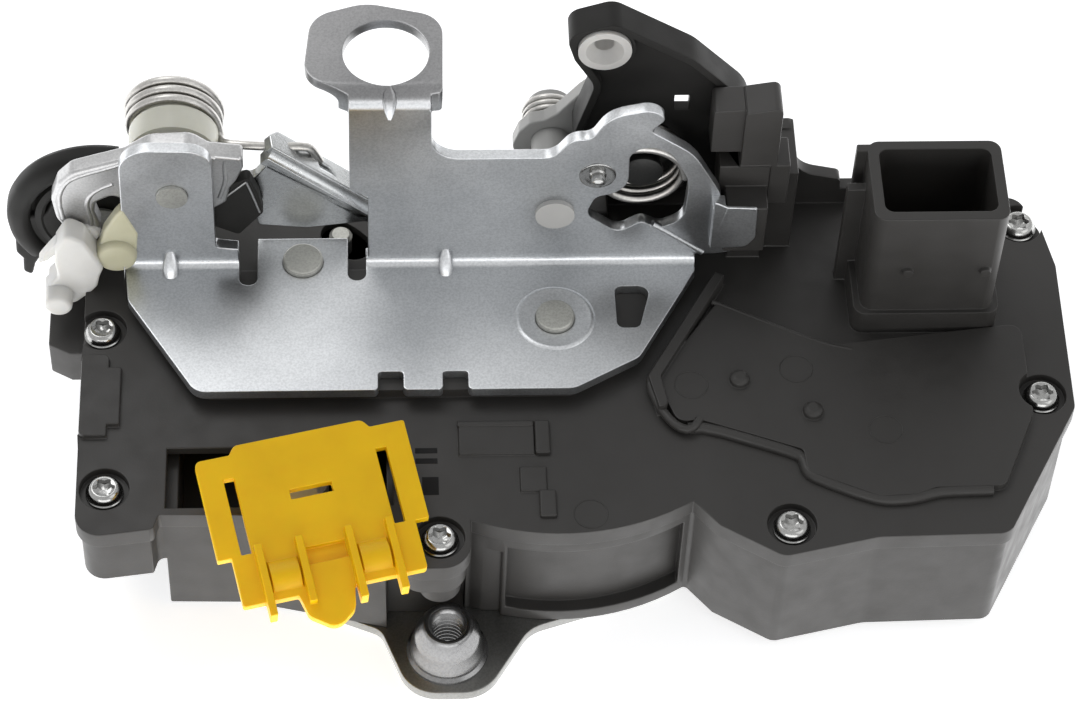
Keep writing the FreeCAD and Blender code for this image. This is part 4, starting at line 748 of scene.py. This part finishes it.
def make_screws():
    """The cover's screws, each with a six-lobed recess."""
    collar, crown = 0.42, 2.05
    screw = turned_piece("cover_screw_set", [
        (1.3, -4.0), (1.3, -0.02), (2.9, 0.0), (3.0, 0.12), (2.98, collar), (2.8, collar + 0.12),
        (2.74, collar + 0.2), (2.72, 0.9), (2.62, 1.3), (2.36, 1.68), (2.06, crown - 0.06),
        (1.86, crown), (1.74, crown - 0.03),
    ], 36)
    open_mesh(screw)
    pick_faces(screw, lambda centre, normal: centre.z > crown - 0.1 and centre.xy.length < 0.1)
    bpy.ops.mesh.extrude_region_move(TRANSFORM_OT_translate={"value": (0, 0, -0.08 * MM)})
    bpy.ops.mesh.select_mode(type="VERT")
    for lobe, ratio in ((0.5, 0.93), (-0.5, 0.79), (-1.0, 0.73)):
        pick_points(screw, lambda point: abs(point.z - (crown - 0.11)) < 0.01
                    and abs(math.cos(6 * math.atan2(point.y, point.x)) - lobe) < 0.05)
        bpy.ops.transform.resize(value=(ratio, ratio, 1), center_override=(0, 0, 0))
    bpy.ops.mesh.select_mode(type="FACE")
    pick_faces(screw, lambda centre, normal: centre.z > crown - 0.15 and centre.xy.length < 0.1
               and abs(normal.z) > 0.9)
    bpy.ops.mesh.extrude_region_move(TRANSFORM_OT_translate={"value": (0, 0, -1.15 * MM)})
    bpy.ops.mesh.extrude_region_move(TRANSFORM_OT_translate={"value": (0, 0, -0.25 * MM)})
    bpy.ops.transform.resize(value=(0.4, 0.4, 1), center_override=(0, 0, 0))
    close_mesh()
    outwards(screw)
    first = SCREWS[0]
    stand(screw, (*first, SCREW_SEAT))
    group = copies(screw, [(x - first[0], y - first[1], 0) for x, y in SCREWS[1:]], "cover_screw_set")
    finished(group, screw_zinc, "housing", ["cover_screws"])


def make_nuts():
    """The mounting nuts: flange, swaged neck and thread."""
    bore = [(3.45, 10.0), (3.1, 9.85), (3.0, 9.5)]
    height = 9.4
    while height > 0.9:
        bore += [(2.58, height - 0.38), (2.58, height - 0.5), (2.98, height - 0.88), (2.98, height - 1.0)]
        height -= 1.0
    nut = turned_piece("mounting_nut_set", [
        (4.35, 0.0), (4.35, 2.02), (6.5, 2.02), (6.58, 2.2), (6.5, 2.55), (6.1, 2.85), (5.95, 2.95),
        (5.92, 3.1), (6.0, 3.3), (5.96, 3.6), (5.75, 4.3), (5.5, 5.2), (5.36, 6.3), (5.3, 7.1),
        (5.08, 7.7), (4.6, 8.7), (4.2, 9.4), (4.0, 9.75), (3.75, 9.96),
    ] + bore + [(3.0, 0.3), (3.2, 0.0)], 64, ring=True)
    first = NUTS[0]
    stand(nut, (*first, 0))
    group = copies(nut, [(x - first[0], y - first[1], 0) for x, y in NUTS[1:]], "mounting_nut_set")
    finished(group, nut_zinc, "housing", ["mounting_nuts"])


def make_rivets():
    heads = [
        ((0, 0, FLANGE_TOP), (0, 0, 1), 3.13, 1.0), ((*PAWL_PIVOT, FLANGE_TOP), (0, 0, 1), 3.22, 1.0),
        ((LINK_PIVOT[0], WEB_FRONT, LINK_PIVOT[1]), (0, -1, 0), 3.13, 0.8),
        ((RELEASE_PIVOT[0], WEB_FRONT, RELEASE_PIVOT[1]), (0, -1, 0), 2.48, 0.5),
    ]
    made = [rivet(*head) for head in heads]
    finished(join(made, "rivet_heads"), rivet_grey, "housing")


def make_springs():
    """The levers' wound springs, each as one wire."""
    release_y = RELEASE_COIL_FRONT + TORSION_WIRE / 2
    points = coil_points((RELEASE_PIVOT[0], release_y, RELEASE_PIVOT[1]), 7.15, 2.6, 1.75, 0.18)
    leg = [
        (-52.4, 21.9, 50.1), (-46.0, 21.4, 50.0), (-40.4, 21.4, 50.0), (-39.0, 21.6, 49.4),
        (-38.0, 21.9, 46.8), (-37.2, 22.2, 44.0),
    ]
    start = [(-53.3, 23.4, 48.9), (-53.6, 24.8, 48.4)]
    spring = wire_piece("release_spring_wire", leg[::-1] + start + points, TORSION_WIRE)
    finished(spring, spring_wire, "release_lever", ["release_spring"], 50)

    outside_y = WEB_BACK + 0.15 + TORSION_WIRE / 2
    points = coil_points((OUTSIDE_PIVOT[0], outside_y, OUTSIDE_PIVOT[1]), 6.9, 3.4, 1.58, -0.12)
    spring = wire_piece("outside_spring_wire", points, TORSION_WIRE)
    finished(spring, spring_wire, "housing", ["outside_spring"], 50)

    points = coil_points((LINK_PIVOT[0], 30.3, LINK_PIVOT[1]), 4.2, 2.5, 1.1)
    spring = wire_piece("link_spring_wire", points, LINK_WIRE)
    finished(spring, spring_wire, "housing", ["link_spring"], 50)


# Mouldings and levers
def make_mouldings():
    """Pieces that keep their solid's shape, and the link lever's arm."""
    softened("case_moulding", "latch_case", housing_black, "housing", 0.3)
    softened("cover_moulding", "actuator_cover", housing_black, "housing", 0.22)
    softened("face_plate_sheet", "face_plate", plate_zinc, "housing", 0.3)
    softened("clip_moulding", "transport_clip", clip_yellow, "transport_clip", 0.18,
             flats=False)
    softened("outside_cap", "outside_lever", lever_black, "outside_lever", 0.25)
    arm = plate_piece("link_arm", [[
        (7.0, 59.0, 0.6), (4.1, 55.8), (0.7, 51.0, 1.5), (-1.3, 49.4, 1.5), (-3.5, 48.9, 1.5),
        (-5.3, 46.6, 2), (-6.4, 43.0, 3), (-5.0, 39.4, 3), (0.0, 37.9, 4), (5.0, 38.4, 3),
        (8.2, 40.0, 2), (7.6, 44.0, 2), (4.2, 47.6, 2), (5.2, 52.0), (7.4, 56.3),
    ], [(2.75, 44.5, 2.75), (0, 47.25, 2.75), (-2.75, 44.5, 2.75), (0, 41.75, 2.75)]], *LINK_FACES, 0.3, 3)
    finished(arm, link_grey, "link_lever", ["link_lever"], 40)


def make_web_fittings():
    """What stands on the bracket's web and behind its opening."""
    pip = turned_piece("spring_pip", [
        (2.95, 0.0), (2.92, 0.2), (2.6, 0.3), (2.0, 0.16), (1.4, 0.12), (1.2, 0.4), (1.16, 1.5),
        (1.0, 1.85), (0.6, 2.05), (0.1, 2.1),
    ], 48)
    stand(pip, (SPRING_PIP[0], WEB_FRONT, SPRING_PIP[1]), (0, -1, 0))
    finished(pip, screw_zinc, "housing", ["spring_anchor_pin"])

    pin = turned_piece("outside_pin_head", [
        (3.0, -13.0), (3.0, -1.4), (3.3, -1.3), (3.4, -0.9), (3.3, -0.4), (2.6, -0.1), (1.2, 0.0),
        (0.3, 0.0),
    ], 48)
    stand(pin, (OUTSIDE_PIVOT[0], WEB_BACK + 1.6, OUTSIDE_PIVOT[1]), (0, -1, 0))
    finished(pin, pin_dark, "housing", ["outside_pin"])

    wing = plate_piece("ear_wing", [[
        (25.2, 50.0, 0.4), (27.4, 48.6, 0.4), (32.2, 48.3, 0.6), (32.4, 41.0, 2.2), (31.0, 38.6, 2.2),
        (25.2, 38.2, 0.4),
    ]], 9.0, 9.56, 0.15, 2)
    step = bar_piece("ear_step", (25.0, 9.2, 38.6), (27.2, 12.0, 48.4), 0.3, 3)
    crease = wire_piece("ear_crease", [
        (15.8, 12.1, 41.0), (19.0, 12.1, 38.4), (22.2, 12.1, 35.6), (24.4, 12.1, 33.8),
    ], 1.4)
    finished(join([wing, step, crease], "ear_wing"), bracket_zinc, "housing", angle=50)

    foot = bar_piece("tower_foot", (1.0, 22.6, SEAM), (9.8, 26.6, 31.0), 0.4, 3)
    finished(foot, housing_black, "housing")


def make_key_cap():
    """Black cap of the key cylinder: a fat rolled lip, a lit step and a thin web that ends in the tail."""
    lip = [
        (14.2, 24.2), (15.0, 23.8), (15.4, 22.9), (15.4, 21.3), (15.1, 20.3), (14.3, 19.7),
        (13.2, 19.5), (12.2, 19.8), (11.6, 20.5), (11.4, 21.8), (11.0, 21.9), (10.8, 20.6),
        (9.8, 20.4), (9.3, 20.7), (8.9, 22.6), (8.9, 24.2),
    ]
    rim = swept_sector("key_cap_lip", lip, (KEY_AXIS[0], 0, KEY_AXIS[1]), 76, 141, 44)
    web = plate_piece("key_cap_web", [[
        (-87.0, 33.4, 0.6), (-87.9, 29.6, 3), (-88.1, 24.2, 1.5), (-87.1, 22.6, 0.6),
        (-87.3, 19.2, 0.9), (-85.9, 18.2, 0.6), (-85.2, 21.2, 0.8), (-83.6, 24.2, 2), (-79.4, 30.6, 3),
        (-70.2, 33.0, 3), (-70.0, 42.6, 1), (-76.4, 42.0, 3), (-80.6, 38.6, 3), (-82.6, 34.0, 2),
    ]], 20.6, 24.0, 0.55, 3)
    hub = turned_piece("key_cap_hub", [(4.0, 0.0), (4.0, 2.6), (3.7, 3.0), (2.3, 3.0)], 40)
    stand(hub, (KEY_AXIS[0], 23.8, KEY_AXIS[1]), (0, -1, 0))
    finished(join([rim, web, hub], "key_cap"), lever_black, "key_lever", ["key_lever"], 40)


def make_inside_lever():
    """Die-cast lever: a hook round the ivory insert, a raised edge and a rough skin."""
    outer = [
        (-55.0, 56.6, 1), (-57.6, 59.0, 3), (-64.4, 58.6, 4), (-68.4, 55.4, 3), (-76.9, 52.3, 3),
        (-79.2, 49.6, 2), (-80.5, 45.6, 3), (-80.0, 40.8, 4), (-77.6, 36.4, 2), (-74.6, 31.4, 1.5),
        (-72.0, 29.4, 1.5), (-69.6, 29.6, 0.6), (-69.4, 31.6, 0.6), (-72.2, 32.6, 1.5),
        (-73.6, 35.8, 1.2), (-73.0, 39.0, 2), (-73.8, 42.6, 1.2), (-73.4, 44.8, 1), (-70.6, 46.6, 1.5),
        (-67.4, 44.0, 2), (-62.0, 42.4, 4), (-55.6, 42.2, 2), (-52.6, 44.6, 1), (-51.9, 48.0, 1),
        (-50.8, 49.8, 1), (-49.6, 53.0, 0.8), (-49.6, 55.7, 0.8),
    ]
    casting = plate_piece("inside_casting", [outer], *CASTING_FACES, 0.7, 4)
    edge = wire_piece("inside_edge", [
        (-54.0, 14.5, 55.6), (-58.0, 14.5, 57.8), (-64.4, 14.5, 57.4), (-68.4, 14.5, 54.4),
        (-73.0, 14.5, 52.6), (-77.0, 14.5, 51.0), (-78.6, 14.5, 48.6), (-79.4, 14.5, 45.0),
        (-78.8, 14.5, 41.0),
    ], 1.0)
    crease = wire_piece("inside_crease", [
        (-70.4, 14.4, 49.6), (-72.6, 14.4, 48.6), (-74.6, 14.3, 46.4), (-75.0, 14.3, 43.8),
        (-74.4, 14.3, 41.0), (-74.6, 14.3, 38.0), (-75.6, 14.4, 35.8),
    ], 0.9)
    rib = wire_piece("inside_rib", [
        (-53.6, 14.4, 46.0), (-52.9, 14.4, 48.4), (-52.4, 14.4, 50.6), (-52.6, 14.4, 53.0),
        (-52.4, 14.5, 55.0),
    ], 0.9)
    lever = join([casting, edge, crease, rib], "inside_casting")
    finished(lever, zinc_casting, "inside_lever", ["inside_lever"], 50)
    nose = plate_piece("inside_nose", [[
        (-55.6, 44.0), (-52.4, 47.6, 0.6), (-48.9, 49.6, 0.8), (-47.4, 45.0, 1), (-46.8, 40.8, 0.8),
        (-50.9, 35.2, 0.8), (-55.8, 38.0),
    ]], 15.2, 17.4, 0.25, 3)
    finished(nose, lever_black, "inside_lever")
    lines = [
        wire_piece("nose_edge", [(-55.2, 15.1, 42.4), (-52.2, 15.1, 45.6), (-49.3, 15.1, 48.8)], 0.4),
        wire_piece("nose_edge", [(-49.3, 15.1, 48.8), (-48.2, 15.1, 44.8), (-47.4, 15.1, 41.2)], 0.4),
    ]
    finished(join(lines, "nose_edges"), zinc_casting, "inside_lever", angle=60)


def make_release_lever():
    """Greased plate: a channel runs up and to the left along its fold, and the lip holds the spring's end."""
    plate = plate_piece("release_plate", [[
        (-45.9, 51.4, 0.3), (-46.1, 49.4, 2), (-48.3, 46.2, 1.5), (-53.6, 46.6, 1), (-58.0, 54.0, 4),
        (-65.0, 54.0, 4), (-67.6, 48.0, 4), (-63.0, 43.0, 4), (-55.0, 42.6, 2), (-50.4, 41.2, 2),
        (-48.4, 37.6, 2), (-47.8, 34.6, 1), (-40.0, 33.7, 4), (-29.4, 35.3, 1), (-29.2, 36.4, 0.3),
    ], [(-58.5, 49.4, 2.4), (-61, 51.9, 2.4), (-63.5, 49.4, 2.4), (-61, 46.9, 2.4)]], *RELEASE_FACES, 0.2)
    bend = drawn_loop("release_bend", [
        (17.8, -1.4), (17.8, -0.4), (17.9, 0.5), (18.3, 1.25), (18.9, 1.7), (19.7, 1.9), (20.4, 1.85),
        (20.8, 1.5), (21.2, 1.45), (21.2, 0.2), (20.6, 0.0), (20.0, -0.4), (19.8, -1.4),
    ])
    open_mesh(bend, "VERT")
    bpy.ops.mesh.select_all(action="SELECT")
    bpy.ops.mesh.edge_face_add()
    bpy.ops.mesh.extrude_region_move(TRANSFORM_OT_translate={"value": (0, 22.6 * MM, 0)})
    close_mesh()
    outwards(bend)
    placed(bend, (0, 1, 0), FOLD_ALONG, FOLD_UP, (FOLD_END[0], 0, FOLD_END[1]))
    lip = plate_piece("release_lip", [
        [(0, 20.9), (22.9, 20.9), (23.4, 23.4, 1.0), (21.8, 24.9, 1.0), (0, 24.9)],
        [(9.0, 21.5, 0.8), (12.6, 21.7, 0.9), (13.4, 23.4, 0.8), (10.6, 23.2, 0.9)],
    ], 0, 1.8, 0.3, 3, upright=False)
    placed(lip, FOLD_ALONG, (0, 1, 0), FOLD_UP, (FOLD_END[0] + 0.12, -1.9, FOLD_END[1] + 0.2))
    lever = join([plate, bend, lip], "release_plate")
    finished(lever, greased_plate, "release_lever", ["release_lever"], 40)


def make_rod_clip():
    """White clip of the inside rod, hung in the inside lever, with its ivory insert."""
    body = plate_piece("rod_clip_moulding", [[
        (-78.2, 42.6, 1.6), (-80.2, 38.6, 1.4), (-80.5, 35.4, 1.2), (-80.2, 31.8, 1.4),
        (-82.0, 29.4, 1.2), (-82.3, 26.4, 1.6), (-80.2, 24.6, 1.8), (-77.7, 25.0, 1.6),
        (-75.3, 27.4, 2), (-74.0, 29.2, 1), (-73.5, 31.6, 1), (-72.8, 33.6, 1), (-73.4, 35.6, 1),
        (-75.4, 40.6, 2),
    ]], 9.4, 13.8, 0.6, 4)
    wing = plate_piece("rod_clip_wing", [[
        (-79.4, 40.0, 0.6), (-81.5, 36.9, 0.5), (-83.5, 33.6, 0.3), (-81.7, 34.5, 0.5),
        (-79.6, 36.8, 0.5),
    ]], 10.8, 12.9, 0.25, 3)
    stud = turned_piece("rod_clip_stud", [
        (1.5, -3.4), (2.0, -3.3), (2.2, -3.0), (2.26, -2.4), (2.3, 0.0), (2.4, 2.2),
    ], 36)
    stand(stud, (-80.3, 9.9, 27.6), (0, 1, 0))
    pin = turned_piece("rod_clip_pin", [(1.6, 0.0), (2.0, 0.4), (2.0, 4.2)], 32)
    stand(pin, (-75.2, 13.4, 37.6), (0, 1, 0))
    clip = join([body, wing, stud, pin], "rod_clip_moulding")
    finished(clip, white_acetal, "rod_clip", ["rod_clip"], 50)

    drum = turned_piece("clip_insert", [
        (1.2, 0.0), (2.6, 0.0), (3.1, 0.3), (3.3, 1.0), (3.35, 2.6), (3.2, 3.6), (2.8, 3.9),
    ], 48)
    stand(drum, (-70.6, 10.2, 35.2), (0, 1, 0))
    cheek = plate_piece("clip_cheek", [[
        (-69.0, 46.4, 1), (-70.4, 44.4, 1), (-72.4, 40.6, 1), (-73.3, 37.0, 1.5), (-72.6, 33.4, 1.5),
        (-70.4, 32.0, 1), (-67.6, 32.2, 1), (-66.8, 40.0, 1),
    ]], 11.6, 13.9, 0.5, 3)
    insert = join([drum, cheek], "clip_insert")
    finished(insert, ivory_acetal, "rod_clip", ["clip_bush"], 50)


def make_cover_details():
    """Beads, rings and pads of the cover's top, from its left end to the socket."""
    bead_z = COVER_TOP + 0.35
    step_line = [
        (20.6, -19.6), (22.6, -19.1), (30.0, -21.9), (37.4, -24.7), (38.6, -25.8), (38.8, -28.4),
        (40.4, -29.7), (49.0, -33.7), (52.0, -34.0), (56.0, -33.6), (59.2, -32.4), (64.0, -32.3),
        (68.0, -32.2),
    ]
    rib_line = [
        (26.6, 9.4), (21.6, 1.0), (16.0, -8.4), (14.8, -10.8), (15.2, -13.2), (16.4, -16.4),
        (18.2, -19.3), (20.2, -20.6), (21.8, -19.8), (22.4, -18.4),
    ]
    back_line = [(26.0, 5.2), (34.0, 1.0), (44.0, -4.2), (48.0, -4.9)]
    beads = [
        wire_piece("cover_bead", [(x, y, bead_z) for x, y in step_line], 2.0),
        wire_piece("cover_bead", [(x, y, COVER_TOP + 1.1) for x, y in rib_line], 1.5),
        wire_piece("cover_bead", [(x, y, COVER_TOP + 1.0) for x, y in back_line], 1.0),
    ]
    finished(join(beads, "cover_beads"), housing_black, "housing", angle=60)

    marks = []
    for x, y, low in (
        (21.5, -11.8, 1.3), (38.6, -8.8, 1.3), (27.4, 0.4, -0.1), (4.4, -35.6, -0.1), (52.0, -21.0, 1.3),
    ):
        level = COVER_TOP + low
        ring = turned_piece("ejector_ring", [
            (2.75, level), (2.73, level + 0.15), (2.66, level + 0.19), (2.58, level + 0.15),
            (2.56, level),
        ], 56, ring=True)
        marks.append(stand(ring, (x, y, 0)))
    finished(join(marks, "ejector_rings"), housing_black, "housing")

    pads = []
    for low, high in (
        ((-3.9, -24.2, COVER_TOP - 0.3), (-1.5, -17.8, COVER_TOP + 0.8)),
        ((-16.2, -18.9, COVER_TOP - 0.3), (-4.0, -17.8, COVER_TOP + 0.75)),
        ((-3.6, -36.2, COVER_TOP - 0.3), (-0.9, -31.2, COVER_TOP + 0.7)),
    ):
        pads.append(bar_piece("cover_pad", low, high, 0.34, 3))
    finished(join(pads, "cover_pads"), housing_black, "housing")

    # Near-black bars of painted shadow stand in for the shaded insides of the cover's slots.
    shadow_bars = []
    for left, front, right, back in (
        (-22.9, -25.6, -19.4, -24.6), (-22.9, -23.6, -19.4, -22.6), (-21.9, -31.6, -19.3, -28.2),
    ):
        low = (left, front, COVER_TOP - 0.2)
        high = (right, back, COVER_TOP + 0.06)
        shadow_bars.append(bar_piece("slot_shadow_bar", low, high, 0.03))
    finished(join(shadow_bars, "painted_slot_shadows"), shadow_black, "housing")


bpy.ops.object.select_all(action="DESELECT")
add_camera()
add_studio()
dress_nodes()
make_bracket()
make_screws()
make_nuts()
make_rivets()
make_springs()
make_mouldings()
make_web_fittings()
make_key_cap()
make_inside_lever()
make_release_lever()
make_rod_clip()
make_cover_details()
bpy.context.scene.view_settings.view_transform = "Standard"
